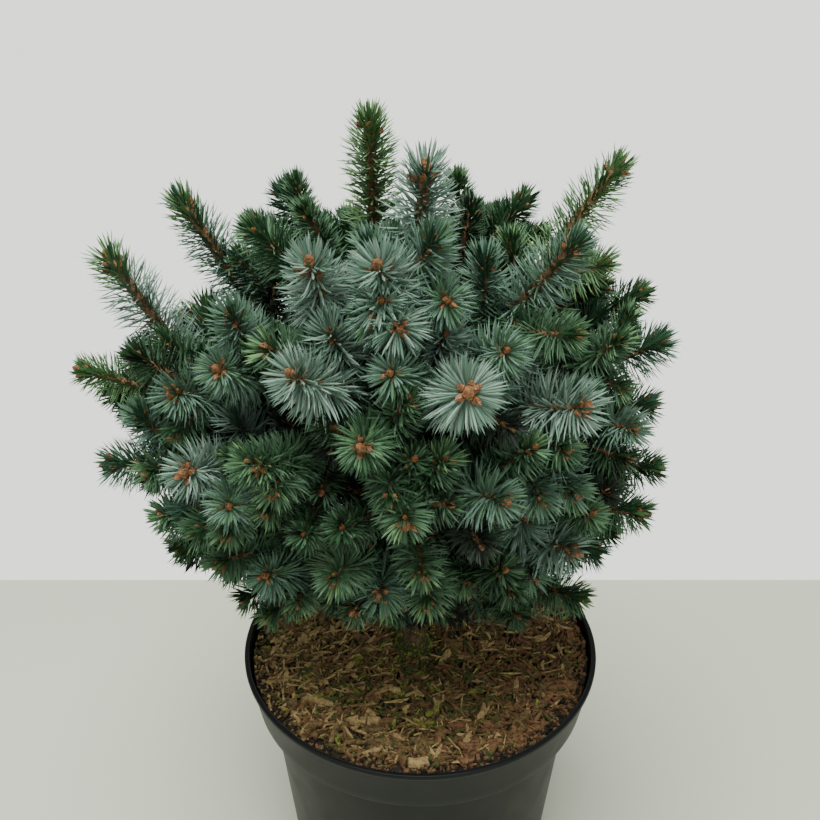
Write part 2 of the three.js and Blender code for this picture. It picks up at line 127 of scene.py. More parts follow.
def loftMany(rings, ends):
    # rings of corners joined along each line, and closed at both ends by fans to an end point.
    # rings is (lines, rings, corners, 3) with corners anticlockwise seen from ahead; ends is (lines, 2, 3)
    count, ringCount, corners = rings.shape[:3]
    points = np.concatenate([rings.reshape(count, -1, 3), ends], 1)
    k, size = np.arange(corners), ringCount * corners
    turn, last = (k + 1) % corners, size - corners
    row = np.arange(ringCount - 1)[:, None] * corners
    quads = np.stack([row + k, row + turn, row + turn + corners, row + k + corners], -1).reshape(-1, 4)
    fans = np.concatenate([np.stack([turn, k, np.full(corners, size)], 1),
                           np.stack([k + last, turn + last, np.full(corners, size + 1)], 1)])
    offsets = (np.arange(count) * points.shape[1])[:, None, None]
    return points.reshape(-1, 3), [(quads + offsets).reshape(-1, 4), (fans + offsets).reshape(-1, 3)]


def joinShapes(shapes):
    # several sets of points and faces as one, with the corner numbers moved on
    points = np.concatenate([p for p, _ in shapes])
    starts = np.cumsum([0] + [len(p) for p, _ in shapes[:-1]])
    faces = [np.concatenate([f[i] + s for (_, f), s in zip(shapes, starts)]) for i in range(2)]
    return points, faces


def makePiece(name, shape, materials, tones=None, smooth=False):
    # a shape's points in millimetres, and its faces as rows of corner numbers; tones picks a material for
    # each face
    mesh = bpy.data.meshes.new(name)
    points, faces = shape
    points = np.asarray(points, np.float32) * metres
    counts = np.concatenate([np.full(len(f), f.shape[1], np.int32) for f in faces])
    loops = np.concatenate([f.ravel() for f in faces]).astype(np.int32)
    mesh.vertices.add(len(points))
    mesh.vertices.foreach_set("co", points.ravel())
    mesh.loops.add(len(loops))
    mesh.loops.foreach_set("vertex_index", loops)
    mesh.polygons.add(len(counts))
    mesh.polygons.foreach_set("loop_start", np.concatenate([[0], np.cumsum(counts)[:-1]]).astype(np.int32))
    mesh.polygons.foreach_set("loop_total", counts)
    for material in materials:
        mesh.materials.append(material)
    if tones is not None:
        mesh.polygons.foreach_set("material_index", np.asarray(tones, np.int32))
    mesh.polygons.foreach_set("use_smooth", np.full(len(counts), smooth))
    mesh.update(calc_edges=True)
    mesh.validate()
    piece = addObject(name, mesh)
    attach(piece, "root")
    return piece


def triangles(shape):
    quads, fans = shape[1]
    return f"{len(quads) * 2 + len(fans)} triangles"


# materials
def addNode(tree, kind, settings=None, links=None, stops=()):
    # one node with its settings, its inputs joined to the outputs given for them, and a ramp's stops
    node = tree.nodes.new(kind)
    for key, value in (settings or {}).items():
        if hasattr(node, key):
            setattr(node, key, value)
        else:
            node.inputs[key].default_value = value
    for key, source in (links or {}).items():
        tree.links.new(source, node.inputs[key])
    for i, (share, colour) in enumerate(stops):
        node.color_ramp.elements[i].position = share
        node.color_ramp.elements[i].color = hexColour(colour)
    return node


def startMaterial(name, settings):
    # a new material, its node tree and its shader with those settings
    material = bpy.data.materials.new(name)
    material.use_nodes = True
    shader = material.node_tree.nodes["Principled BSDF"]
    for key, value in settings.items():
        shader.inputs[key].default_value = value
    return material, material.node_tree, shader


# Spruce needle: a waxy skin, dull green outside and bloomed silver blue on the side towards the twig. The
# bloom is patchy over two or three millimetres, which shows as uneven gloss.
def needleMaterial(name, colour, roughness):
    material, tree, shader = startMaterial(name, {
        "Base Color": hexColour(colour), "Roughness": roughness, "IOR": 1.45,
        "Specular IOR Level": 0.4, "Subsurface Weight": 0.0})
    place = addNode(tree, "ShaderNodeTexCoord")
    patches = addNode(tree, "ShaderNodeTexNoise", {"Scale": 420.0, "Detail": 2.0},
                      {"Vector": place.outputs["Object"]})
    level = addNode(tree, "ShaderNodeMapRange", {"To Min": roughness - 0.1, "To Max": roughness + 0.12},
                    {"Value": patches.outputs["Fac"]})
    tree.links.new(level.outputs["Result"], shader.inputs["Roughness"])
    return material


needleTones = dict(  # outer side, inner side
    silver=("#375443", "#789080"),
    blue=("#2a4835", "#577462"),
    fresh=("#44663a", "#5d7f50"),
    green=("#254529", "#466749"),
    deep=("#19331a", "#2e4c30"),
    # near black needles: painted shade for the crown's interior and hollows, darker than any real needle
    old=("#0b140b", "#131f12"),
)
needleMaterials = [needleMaterial(f"waxy_needle_{tone}_{side}_side", colour, gloss)
                   for tone, colours in needleTones.items()
                   for side, colour, gloss in zip(("outer", "inner"), colours, (0.5, 0.58))]

barkLook = dict(ior=1.5, detail=6.0, rough=0.65, stops=(0.36, 0.66), relief=0.7)
mulchLook = dict(ior=1.45, detail=5.0, rough=0.7, stops=(0.35, 0.68), relief=0.8)


# Young spruce bark is thin, orange brown and grooved between the pegs that bear the needles, and composted
# bark mulch is dull, rough and fibrous, from dark humus to tan heartwood; the humus is set near black,
# painted shade for the gaps between chips. The eye sees both as grains of two browns on a rough surface.
# grain and depth are in millimetres.
def fibrousMaterial(look, name, low, high, grain, depth, roughness):
    material, tree, shader = startMaterial(name, {"Roughness": roughness, "IOR": look["ior"]})
    place = addNode(tree, "ShaderNodeTexCoord")
    fibre = addNode(tree, "ShaderNodeTexNoise",
                    {"Scale": 1 / (grain * metres), "Detail": look["detail"], "Roughness": look["rough"]},
                    {"Vector": place.outputs["Object"]})
    ramp = addNode(tree, "ShaderNodeValToRGB", links={"Fac": fibre.outputs["Fac"]},
                   stops=zip(look["stops"], (low, high)))
    bump = addNode(tree, "ShaderNodeBump", {"Strength": look["relief"], "Distance": depth * metres},
                   {"Height": fibre.outputs["Fac"]})
    tree.links.new(ramp.outputs["Color"], shader.inputs["Base Color"])
    tree.links.new(bump.outputs["Normal"], shader.inputs["Normal"])
    return material


twigBark = fibrousMaterial(barkLook, "young_bark_orange_brown", "#2e2012", "#84613b", 1.8, 0.35, 0.82)
boughBark = fibrousMaterial(barkLook, "older_bark_dull_brown", "#2e241b", "#6b5138", 3.5, 0.5, 0.82)
budScales = fibrousMaterial(barkLook, "bud_scales_resinous_brown", "#3a2310", "#966639", 1.1, 0.25, 0.5)

# pot: a three litre nursery pot, moulded in one piece with a stepped collar and a beaded rim
pot = dict(height=150.0, rim=95.0, bead=3.0, collar=27.0, collarFoot=90.0, bodyTop=82.5, base=71.5,
           wall=1.6, floor=2.2, holes=8, holeRadius=4.5, holeCircle=56.0, mulchDrop=6.0, mulchCrown=2.0)
potLow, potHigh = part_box("pot")


def roundCorner(before, corner, after, radius, steps=5):
    # a corner of an outline replaced by a curve: (1-t)^2 start + 2t(1-t) corner + t^2 end
    before, corner, after = map(np.array, (before, corner, after))
    a = corner + unit(before - corner) * min(radius, np.linalg.norm(before - corner) * 0.45)
    b = corner + unit(after - corner) * min(radius, np.linalg.norm(after - corner) * 0.45)
    t = np.linspace(0, 1, steps)[:, None]
    return (1 - t) ** 2 * a + 2 * t * (1 - t) * corner + t ** 2 * b


def potProfile():
    collarBottom = pot["height"] - pot["collar"]
    top, rim = pot["height"], pot["rim"]
    corners = [  # radius, height and the rounding there
        (pot["base"], 0, 1.5), (pot["bodyTop"], collarBottom - 1.6, 0.8),
        (pot["collarFoot"] - 0.3, collarBottom + 0.2, 1.4),
        (pot["collarFoot"] + 1.0, collarBottom + 8, 2.0),
        (rim - 1.2, top - pot["bead"] - 0.6, 0.8), (rim, top - pot["bead"] + 0.4, 0.7), (rim, top, 0.9),
        (rim - 2.5, top, 0.9), (rim - 2.9, top - 2.4, 0.8),
        (pot["collarFoot"] - pot["wall"], collarBottom + 2.5, 0.8),
        (pot["bodyTop"] - pot["wall"], collarBottom - 0.5, 0.8),
        (pot["base"] - pot["wall"], pot["floor"], 1.2)]
    outline = [np.array([[0.0, 0.0]])]
    places = [(0.0, 0.0)] + [c[:2] for c in corners] + [(0.0, pot["floor"])]
    for i, (r, z, rounding) in enumerate(corners):
        outline.append(roundCorner(places[i], (r, z), places[i + 2], rounding))
    outline.append(np.array([[0.0, pot["floor"]]]))
    return np.concatenate(outline)


def spun(profile, columns=160):
    # a profile turned round the upright axis: (r cos a, r sin a, z), with one point at each pole
    inner = profile[1:-1]
    a = np.linspace(0, 2 * np.pi, columns, endpoint=False)
    rings = np.stack([inner[:, :1] * np.cos(a), inner[:, :1] * np.sin(a),
                      np.broadcast_to(inner[:, 1:], (len(inner), columns))], -1)
    return loftMany(rings[None], np.array([[[0, 0, profile[0, 1]], [0, 0, profile[-1, 1]]]]))


# Injection moulded polypropylene: near black, with a satin skin and faint flow ripple.
potMaterial, tree, shader = startMaterial("moulded_black_polypropylene", {
    "Base Color": hexColour("#101212"), "Roughness": 0.45, "IOR": 1.49, "Specular IOR Level": 0.13})
place = addNode(tree, "ShaderNodeTexCoord")
ripple, skin = [addNode(tree, "ShaderNodeTexNoise", {"Scale": scale, "Detail": detail},
                        {"Vector": place.outputs["Object"]})
                for scale, detail in ((60.0, 3.0), (1400.0, 2.0))]
level = addNode(tree, "ShaderNodeMapRange", {"To Min": 0.34, "To Max": 0.52},
                {"Value": ripple.outputs["Fac"]})
tone = addNode(tree, "ShaderNodeValToRGB", links={"Fac": ripple.outputs["Fac"]},
               stops=((0.0, "#0d0f0f"), (1.0, "#141716")))
bump = addNode(tree, "ShaderNodeBump", {"Strength": 0.15, "Distance": 0.2 * metres},
               {"Height": skin.outputs["Fac"]})
for node, output, key in ((level, "Result", "Roughness"), (tone, "Color", "Base Color"),
                          (bump, "Normal", "Normal")):
    tree.links.new(node.outputs[output], shader.inputs[key])


def cutHoles(piece):
    # round drain holes through the floor, near its edge
    a = (np.arange(pot["holes"]) + 0.5) / pot["holes"] * 2 * np.pi
    low, high = -2.0, 5.0  # from under the floor to over it
    profile = np.array([[0, low], [pot["holeRadius"], low], [pot["holeRadius"], high], [0, high]])
    points, faces = spun(profile, 24)
    drills = joinShapes([(points + [x, y, 0], faces)
                         for x, y in np.stack([np.cos(a), np.sin(a)], 1) * pot["holeCircle"]])
    cutter = makePiece("drill", drills, [potMaterial])
    cut = piece.modifiers.new("holes", "BOOLEAN")
    cut.operation, cut.object, cut.solver = "DIFFERENCE", cutter, "EXACT"
    bpy.context.view_layer.objects.active = piece
    bpy.ops.object.modifier_apply(modifier="holes")
    bpy.data.objects.remove(cutter)


potPiece = makePiece("nursery_pot", spun(potProfile()), [potMaterial], smooth=True)
cutHoles(potPiece)
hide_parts("pot")
report(f"pot, {potHigh[2] - potLow[2]:.3f} m high in the solids")

# how the plant grows: the same rule as the solids, from the same sizes
stem = dict(foot=np.array([-4.0, -4.0, 146.3]), tip=np.array([-20.0, -8.0, 355.0]), bow=5.0,
            flareRadius=11.0, radius=7.5, tipRadius=2.4, flareHeight=14.0)
stemHeight = stem["tip"][2] - stem["foot"][2]
crown = dict(x=-18, y=-2, side=127, front=108, middle=150, half=140, low=40)
leaderTip = np.array([-22.0, -10.0, pot["height"] + 287])
tilt = dict(low=-8, gain=62, start=60, span=200, power=1.5)
forks = dict(low=14, high=192, shifts=[0, 3, -3, 6, -6, 9, -9, 12, -12, 15, -15, 18, -18, 22, -22, 26, -26],
             swings=[0, 0.2, -0.2, 0.4, -0.4])
growth = dict(boughs=11, boughRadius=3.4, twigRadius=1.9, gap=1.0, core=2.2, mainBrush=70, fingerBack=54,
              fingerTilt=52, startArm=0.35, startLift=0.18, endArm=0.38, fingerArm=0.55, sideAhead=0.5,
              sideLift=0.12, footSpace=4, leaderShare=0.42, bareFoot=0.12, boughOverlap=5)
# side shoots, then finer twigs in what room is left, shorter and nearer together than the solids can be, and
# short ones deep inside, in the near black painted shade tone. backs are distances from the parent's tip, and
# inward is how far past its brush
sideShoots = dict(kind="side", backs=[34, 44, 54], rolls=range(0, 360, 45), angle=50, brush=40, tipSpacing=20,
                  brushSpacing=9, margin=1, inward=0, tone=None)
fineTwigs = [dict(kind="fine", backs=[26, 38, 48, 60, 72, 84, 98, 112], rolls=range(0, 360, 40), angle=58,
                  brush=20 + spacing * 0.6, tipSpacing=spacing, brushSpacing=spacing * 0.45, margin=-4,
                  inward=45, tone=None) for spacing in (15, 14, 13, 12.5, 12, 11.5)]
deepTwigs = dict(kind="fine", backs=[58, 70, 82, 94, 106], rolls=range(0, 360, 60), angle=65, brush=30,
                 tipSpacing=13, brushSpacing=4, margin=-20, inward=90, tone="old")
fill = dict(first=0.3, last=0.88, places=30, length=42, slack=18, turn=0.9, forwards=0.35, back=4, arm=0.45)

# name, azimuth of the tip, its height over the rim, how far it stands out of the dome, its tone, and for
# a shoot with a direction of its own its tilt and the azimuth it points to
frontTips = [
    ("crest", 292, 275, 0, "silver", 78, 291), ("left_spire", 177, 253, 6, "blue", 61, 180),
    ("left_finger", 187, 228, 13, "silver", 61, 180), ("right_spire", 1, 268, 38, "fresh", 56, 0),
    ("front_high_left", 252, 247, 0, "silver", 57, 258), ("front_high", 270, 246, 0, "silver", 51, 240),
    ("front_high_right", 332, 249, 9, "blue", 53, 340), ("front_dish", 288, 206, 8, "silver", 32, 268),
    ("front_left", 251, 210, 0, "silver", 45, 225), ("left_front_high", 228, 200, -13, "blue", 32, 262),
    ("left_front", 211, 179, -16, "blue", 25, 250), ("left_far", 190, 177, 13, "fresh", 24, 192),
    ("left_middle", 201, 141, 7, "blue"), ("left_silver", 222, 153, -9, "silver", 25, 258),
    ("left_low", 206, 96, -5, "green"), ("left_front_low", 238, 106, -13, "blue", 32, 262),
    ("front_left_middle", 242, 166, -8, "green"), ("front_middle", 267, 184, 0, "green"),
    ("front_low", 270, 100, -12, "blue"), ("front_drop", 276, 150, 0, "green", -6),
    ("front_right_middle", 298, 155, -2, "blue", 10, 318), ("front_right_low", 298, 98, -18, "green"),
    ("right_front", 317, 186, 0, "silver"), ("right_front_low", 321, 110, -3, "silver"),
    ("right_far", 352, 189, 6, "blue", 34, 354), ("right_back", 14, 192, 12, "green"),
    ("right_far_low", 350, 158, 0, "blue"), ("right_middle", 349, 126, 8, "green"),
    ("right_low", 338, 116, 9, "green"), ("right_foot", 334, 66, 10, "green")]
# azimuth, height, proud, tone, tilt and facing of twigs that show between those shoots
fillTips = [
    (288, 232, -5, "blue", 25, 265), (301, 213, -5, "blue", 30, 280), (273, 209, -5, "blue", 30, 262),
    (223, 250, -12, "green", 40, 200), (242, 215, -6, "green", 35, 215), (167, 184, -22, "deep", 40, 200),
    (51, 246, -29, "green", 60, 270), (321, 212, -4, "green", 15, 350), (200, 192, -6, "deep", 30, 170),
    (236, 148, -6, "blue", 42, 270), (246, 154, -8, "green", -20, 262), (252, 139, -10, "deep", 50, 255),
    (262, 146, -8, "deep", 48, 285), (233, 129, -6, "green", -20, 245), (224, 126, -4, "green", 0, 210),
    (213, 126, -4, "green", 30, 240), (259, 115, -6, "green", -10, 262), (262, 94, -8, "deep", 10, 250),
    (273, 155, -8, "green", -30, 270), (280, 118, -6, "green", -5, 270), (282, 98, -6, "green", -25, 272),
    (314, 167, -6, "green", 10, 300), (308, 146, -6, "blue", 0, 290), (316, 145, -4, "blue", 5, 300),
    (323, 131, -4, "green", 35, 300), (295, 129, -8, "deep", -10, 280), (302, 114, -8, "deep", 40, 290),
    (305, 95, -6, "deep", -10, 280), (279, 174, -12, "deep", 45, 285), (240, 170, -8, "green", 50, 260),
    (337, 144, -4, "deep", 5, 340), (228, 109, -5, "green", -20, 225), (209, 142, -5, "green", 5, 240),
    (307, 173, -8, "green", 40, 300), (123, 224, -40, "green", 45, 150), (150, 239, -50, "green", 60, 200),
    (276, 224, -3, "silver", 12, 285), (269, 227, -6, "blue", 20, 262), (184, 154, -6, "green", -4, 190),
    (348, 95, -4, "green", -4, 350), (338, 91, -9, "blue", -8, 330), (354, 109, -4, "green", 4, 352),
    (7, 199, -17, "green", 30, 0), (8, 220, -14, "fresh", 50, 350), (6, 177, -4, "green", 12, 0),
    (39, 227, -32, "green", 60, 290), (178, 222, -43, "blue", 45, 190), (184, 157, 1, "green", 4, 185),
    (187, 149, -5, "green", -10, 200), (348, 88, 2, "green", -8, 345), (343, 82, -1, "blue", -10, 340),
    (337, 85, -8, "green", -12, 330), (7, 203, -12, "green", 25, 0), (292, 236, -33, "silver", 55, 280),
    (271, 234, -2, "silver", 30, 262), (39, 229, -24, "green", 60, 290), (110, 227, -47, "green", 60, 250)]
# dark hollows between the shoots, as a point and the reach round it: no fine twig ends there, and the
# needles of any other that does take the near black tone, painted shade
hollows = np.array([
    (-72, -81, 332, 18), (-62, -84, 337, 17), (-87, -74, 323, 14), (-38, -94, 313, 18), (-30, -94, 316, 15),
    (-49, -92, 302, 12), (29, -85, 325, 18), (34, -83, 329, 16), (42, -82, 309, 13), (72, -59, 294, 16),
    (-21, -95, 280, 13), (-14, -94, 277, 11), (-5, -94, 281, 10), (13, -91, 282, 12), (-30, -97, 352, 13),
    (30, -97, 282, 14), (15, -101, 286, 12)], float)
backTiers = [("foot", 72, 25, 185, 3, -4), ("low", 116, 16, 166, 4, 0), ("middle", 164, 32, 150, 3, 2),
             ("high", 210, 52, 130, 2, 2), ("top", 236, 34, 130, 2, -10)]


def stemPoint(share):
    # a straight line from foot to tip, bowed to the right by a half sine
    share = np.asarray(share, float)[..., None]
    line = stem["foot"] + (stem["tip"] - stem["foot"]) * share
    return line + np.array([stem["bow"], 0, 0]) * np.sin(np.pi * share)


def stemRadiusAt(share):
    # an even taper, and a flare at the foot that dies out as a square
    share = np.asarray(share, float)
    height = share * stemHeight
    flare = (stem["flareRadius"] - stem["radius"]) * np.maximum(0, 1 - height / stem["flareHeight"]) ** 2
    return stem["radius"] + (stem["tipRadius"] - stem["radius"]) * share + flare


def domeRadius(azimuth, height):
    # an ellipse's radius in plan, shrunk by the circle law of the height
    shrink = math.sqrt(max(0.0, 1 - ((height - crown["middle"]) / crown["half"]) ** 2))
    c, s = math.cos(math.radians(azimuth)), math.sin(math.radians(azimuth))
    return shrink * crown["side"] * crown["front"] / math.hypot(crown["front"] * c, crown["side"] * s)


def tiltAt(height):
    # level shoots low down and steeper ones above: low + gain ((height - start) / span)^power
    return tilt["low"] + tilt["gain"] * max(0.0, (height - tilt["start"]) / tilt["span"]) ** tilt["power"]


def curveAt(controls, t):
    # a smooth curve by its control points: neighbours are blended, a + (b - a) t, until one point is left
    t = np.asarray(t, float)[..., None]
    level = [c + 0 * t for c in controls]
    while len(level) > 1:
        level = [a + (b - a) * t for a, b in zip(level, level[1:])]
    return level[0]


def curveAhead(controls, t):
    # the curve's direction: the same blend over the differences of its controls
    return unit(curveAt([b - a for a, b in zip(controls, controls[1:])], t))


def curveLength(controls):
    # the sum of 200 short straight steps
    return float(np.linalg.norm(np.diff(curveAt(controls, np.linspace(0, 1, 201)), axis=0), axis=1).sum())


def linesOf(route):
    # each stretch of a route as its first and its last point
    return np.stack([route[:-1], route[1:]], 1)


def linesGap(one, other):
    # nearest approach of every straight line of one set to every line of the other; smallest of all
    a, b, c, d = one[:, None, 0], one[:, None, 1], other[None, :, 0], other[None, :, 1]
    u, v, w = b - a, d - c, a - c
    uu, uv, vv = (u * u).sum(-1), (u * v).sum(-1), (v * v).sum(-1)
    uw, vw = (u * w).sum(-1), (v * w).sum(-1)
    det = uu * vv - uv * uv
    s = np.where(det > 1e-9, np.clip((uv * vw - vv * uw) / np.where(det > 1e-9, det, 1), 0, 1), 0)
    t = np.clip((uv * s + vw) / vv, 0, 1)
    s = np.clip((uv * t - uw) / uu, 0, 1)
    return float(np.linalg.norm(w + u * s[..., None] - v * t[..., None], axis=-1).min())


def tipAt(azimuth, height, proud):
    # a point at a height over the rim, as far from the crown's axis as the dome's radius there and proud
    reach = domeRadius(azimuth, height) + proud
    return np.array([crown["x"], crown["y"], pot["height"] + height]) + heading(azimuth, 0) * reach


def mainShoots():
    # the chosen tips in front and even tiers of them behind, from the lowest to the highest
    tiers = [(f"back_{label}_{i + 1}", first + (last - first) * i / (count - 1), height, proud,
              ["green", "blue", "fresh", "silver"][(i + height) % 4])
             for label, height, first, last, count, proud in backTiers for i in range(count)]
    rows = []
    for name, azimuth, height, proud, toneName, *own in frontTips + tiers:
        lean = own[0] if own else tiltAt(height)
        ahead = heading(own[1] if len(own) > 1 else azimuth, lean)
        rows.append(dict(name=name, azimuth=azimuth, height=height, lean=lean, tone=toneName, ahead=ahead,
                         tip=tipAt(azimuth, height, proud), finger=bool(own) and lean > growth["fingerTilt"]))
    return sorted(rows, key=lambda row: row["tip"][2])


def shootCurve(row, fork, swing):
    # a curve by four controls that leaves the stem towards the tip, a little raised and swung aside, and ends
    # along the shoot's own direction
    start = stemPoint(fork / stemHeight)
    chord = row["tip"] - start
    length = np.linalg.norm(chord)
    leaving = unit(unit(chord) + up * growth["startLift"] + sideways(chord / length) * swing)
    arm = length * growth["fingerArm" if row["finger"] else "endArm"]
    return [start, start + leaving * length * growth["startArm"], row["tip"] - row["ahead"] * arm, row["tip"]]


def straightFork(row):
    # the height over the stem's foot where a line back from a finger's tip meets the stem
    rise = math.hypot(*(row["tip"] - stem["tip"])[:2]) * math.tan(math.radians(row["lean"]))
    return min(max(row["tip"][2] - rise - stem["foot"][2], forks["low"]), forks["high"])


def sideCurve(row, back, roll, rule):
    # a side shoot leaves at an angle, cos ahead + sin out, and bends back towards its parent's direction
    at, angle, half = 1 - back / row["length"], math.radians(rule["angle"]), rule["brush"] / 2
    start, ahead = curveAt(row["curve"], at), curveAhead(row["curve"], at)
    leaving = ahead * math.cos(angle) + turned(sideways(ahead), ahead, roll) * math.sin(angle)
    ending = unit(leaving + ahead * growth["sideAhead"] + up * growth["sideLift"])
    bend = start + leaving * half
    return [start, bend, bend + ending * half]


def insideCrown(point, margin):
    # over the bare foot, and nearer to the crown's axis than the dome's radius and a margin
    height = point[2] - pot["height"]
    x, y = point[0] - crown["x"], point[1] - crown["y"]
    azimuth = math.degrees(math.atan2(y, x))
    return height > crown["low"] and math.hypot(x, y) < domeRadius(azimuth, height) + margin


def growSide(row, rows, tips, rule):
    # the free place whose tip has the most room, clear of every other shoot
    others = np.concatenate([linesOf(route) for other in rows if other is not row
                             for route in [other["route"]] + [side["route"] for side in other["sides"]]])
    best, most = None, rule["tipSpacing"]
    deepest = row["length"] * (1 - row["brushStart"]) - growth["footSpace"] + rule["inward"]
    taken = [side["back"] for side in row["sides"]]
    for back in rule["backs"]:
        if back > deepest or back in taken or (row["finger"] and back < growth["fingerBack"]):
            continue
        for degrees in rule["rolls"]:
            curve = sideCurve(row, back, math.radians(degrees), rule)
            route = curveAt(curve, np.linspace(0, 1, 5))
            tip = route[-1]
            room = np.linalg.norm(np.array(tips) - tip, axis=1).min()
            if not insideCrown(tip, rule["margin"]) or room < most:
                continue
            # a tip in a hollow is in shade: its twig takes the near black tone, painted shade
            shaded = (np.linalg.norm(hollows[:, :3] - tip, axis=1) < hollows[:, 3]).any()
            if shaded and rule["kind"] == "fine":
                continue
            if linesGap(linesOf(route), others) <= rule["brushSpacing"]:
                continue
            most = room
            best = dict(back=back, curve=curve, route=route, kind=rule["kind"],
                        tone="old" if shaded else rule["tone"])
    if best:
        row["sides"].append(best)
        tips.append(best["route"][-1])


def growFill(rows, tips):
    # a twig to each chosen tip from the nearest fair stretch of a main shoot: about as long as it should be,
    # leaving forwards, with the least turn towards the way it is to point
    shares = np.linspace(fill["first"], fill["last"], fill["places"])
    for azimuth, height, proud, toneName, lean, facing in fillTips:
        tip, ahead, least = tipAt(azimuth, height, proud), heading(facing, lean), math.inf
        for row in rows:
            starts, along = curveAt(row["curve"], shares), curveAhead(row["curve"], shares)
            far = np.linalg.norm(tip - starts, axis=1)
            chord = (tip - starts) / far[:, None]
            cost = (np.abs(far - fill["length"]) / fill["slack"] + (1 - chord @ ahead) * fill["turn"]
                    + np.maximum(0, fill["forwards"] - (chord * along).sum(1)) * fill["back"])
            i = int(cost.argmin())
            if cost[i] < least:
                least, parent = cost[i], row
                curve = [starts[i], tip - ahead * far[i] * fill["arm"], tip]
        parent["sides"].append(dict(back=None, curve=curve, route=curveAt(curve, np.linspace(0, 1, 5)),
                                    kind="side", tone=toneName))
        tips.append(tip)


def placeMain(rows, placed):
    # each shoot takes the first fork and swing that leave it clear of those placed before it, or the
    # roomiest. The fingers are placed first, and the others find room round them
    for i, row in sorted(enumerate(rows), key=lambda one: not one[1]["finger"]):
        girth = growth["boughRadius"] if row["bough"] else growth["core"]
        even = forks["low"] + (forks["high"] - forks["low"]) * i / (len(rows) - 1)
        if row["finger"]:
            even = straightFork(row)
        best = -math.inf
        for shift, swing in [(a, b) for a in forks["shifts"] for b in forks["swings"]]:
            curve = shootCurve(row, min(max(even + shift, forks["low"]), forks["high"]), swing)
            outside = stemRadiusAt((even + shift) / stemHeight) / curveLength(curve)
            route = curveAt(curve, outside + (1 - outside) * np.linspace(0, 1, 15))
            room = min(linesGap(linesOf(route), linesOf(r)) - g for r, g in placed) - girth
            if room > best:
                best, row["curve"], outer = room, curve, route
            if room > growth["gap"]:
                break
        placed.append((outer, girth))


def growCrown():
    # main shoots from the stem, side shoots from those, twigs to the chosen tips, and then the finer twigs
    rows = mainShoots()
    spread = sorted(rows, key=lambda row: -math.hypot(*(row["tip"] - stem["tip"])[:2]))
    for i, row in enumerate(spread):
        row["bough"] = i < growth["boughs"]
    top = stem["tip"] + unit(leaderTip - stem["tip"]) * growth["leaderShare"]
    placeMain(rows, [(np.stack([top, leaderTip]), growth["core"])])
    leader = dict(name="leader", curve=[top, leaderTip], tip=leaderTip, finger=False, bough=False,
                  tone="fresh")
    for row in rows + [leader]:
        row["length"] = curveLength(row["curve"])
        row["route"] = curveAt(row["curve"], np.linspace(0, 1, 13))
        row["sides"] = []
        bare = 0.0 if row is leader else growth["bareFoot"]
        row["brushStart"] = max(bare, 1 - growth["mainBrush"] / row["length"])
        row["start"] = row["brushStart"] - growth["boughOverlap"] / row["length"] if row["bough"] else 0.0
    tips = [row["tip"] for row in rows + [leader]]
    for rule in [sideShoots, sideShoots, "fill", *fineTwigs, deepTwigs, deepTwigs, deepTwigs]:
        if rule == "fill":
            growFill(rows, tips)
            continue
        for row in rows:
            growSide(row, rows + [leader], tips, rule)
    return rows + [leader]


rows = growCrown()
report(f"{len(rows)} main shoots and {sum(len(row['sides']) for row in rows)} side shoots")

# surfaces carried along lines, many at a time
def framesAlong(ahead):
    # two directions square to each step of a line and to each other, held steady by the world axis
    # that lies furthest from the line
    axis = np.eye(3)[np.argmin(np.abs(ahead.mean(-2)), -1)]
    across = unit(np.cross(axis[..., None, :] if axis.ndim > 1 else axis, ahead))
    return across, np.cross(ahead, across)


def tube(curve, shares, radii, sides, relief=0.0, grain=2.0, seed=0):
    # a round limb: centre + r(s, a) (across cos a + other sin a), where r carries the bark's relief,
    # a sum of two sizes of value noise
    centre, ahead = curve(shares), unit(np.gradient(curve(shares), axis=0))
    across, other = framesAlong(ahead)
    a = np.arange(sides) / sides * 2 * np.pi
    run = np.concatenate([[0], np.cumsum(np.linalg.norm(np.diff(centre, axis=0), axis=1))])[:, None]
    around = max(3, round(2 * np.pi * radii.mean() / grain))
    coarse = noise(a[None] / (2 * np.pi) * around + 0 * run, run / (grain * 1.9), seed, around)
    fine = noise(a[None] / (2 * np.pi) * around * 2 + 0 * run, run / grain * 1.3, seed + 9, around * 2)
    r = radii[:, None] + relief * (coarse * 1.3 + fine * 0.7 - 1.0)
    rings = centre[:, None] + r[..., None] * (np.cos(a)[:, None] * across[:, None]
                                              + np.sin(a)[:, None] * other[:, None])
    return loftMany(rings[None], np.stack([centre[0], centre[-1]])[None])


# trunk and boughs, with the bark's flakes and ridges in the mesh
bark = dict(trunkRings=230, trunkSides=56, trunkRelief=0.9, trunkGrain=3.2, boughRings=90, boughSides=14,
            boughRelief=0.5, boughGrain=2.4, ridges=4, ridgeSwell=0.09, ridgeTurn=0.6)


def trunkShape():
    # rings up the bowed stem, a little into the mulch at the foot. The flare swells into root ridges: the
    # distance from the foot's middle times 1 + swell flare cos(ridges a + turn)
    shares = np.linspace(0, 1, bark["trunkRings"])
    points, faces = tube(stemPoint, shares, stemRadiusAt(shares), bark["trunkSides"], bark["trunkRelief"],
                         bark["trunkGrain"], 3)
    height = points[:, 2] - stem["foot"][2]
    turn = np.arctan2(points[:, 1] - stem["foot"][1], points[:, 0] - stem["foot"][0])
    flare = np.maximum(0, 1 - height / stem["flareHeight"]) ** 2
    swell = 1 + flare * bark["ridgeSwell"] * np.cos(bark["ridges"] * turn + bark["ridgeTurn"])
    points[:, :2] = stem["foot"][:2] + (points[:, :2] - stem["foot"][:2]) * swell[:, None]
    points[:, 2] = np.maximum(points[:, 2], stem["foot"][2])
    return points, faces


trunkPiece = makePiece("trunk_bark", trunkShape(), [boughBark], smooth=True)
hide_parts("trunk")

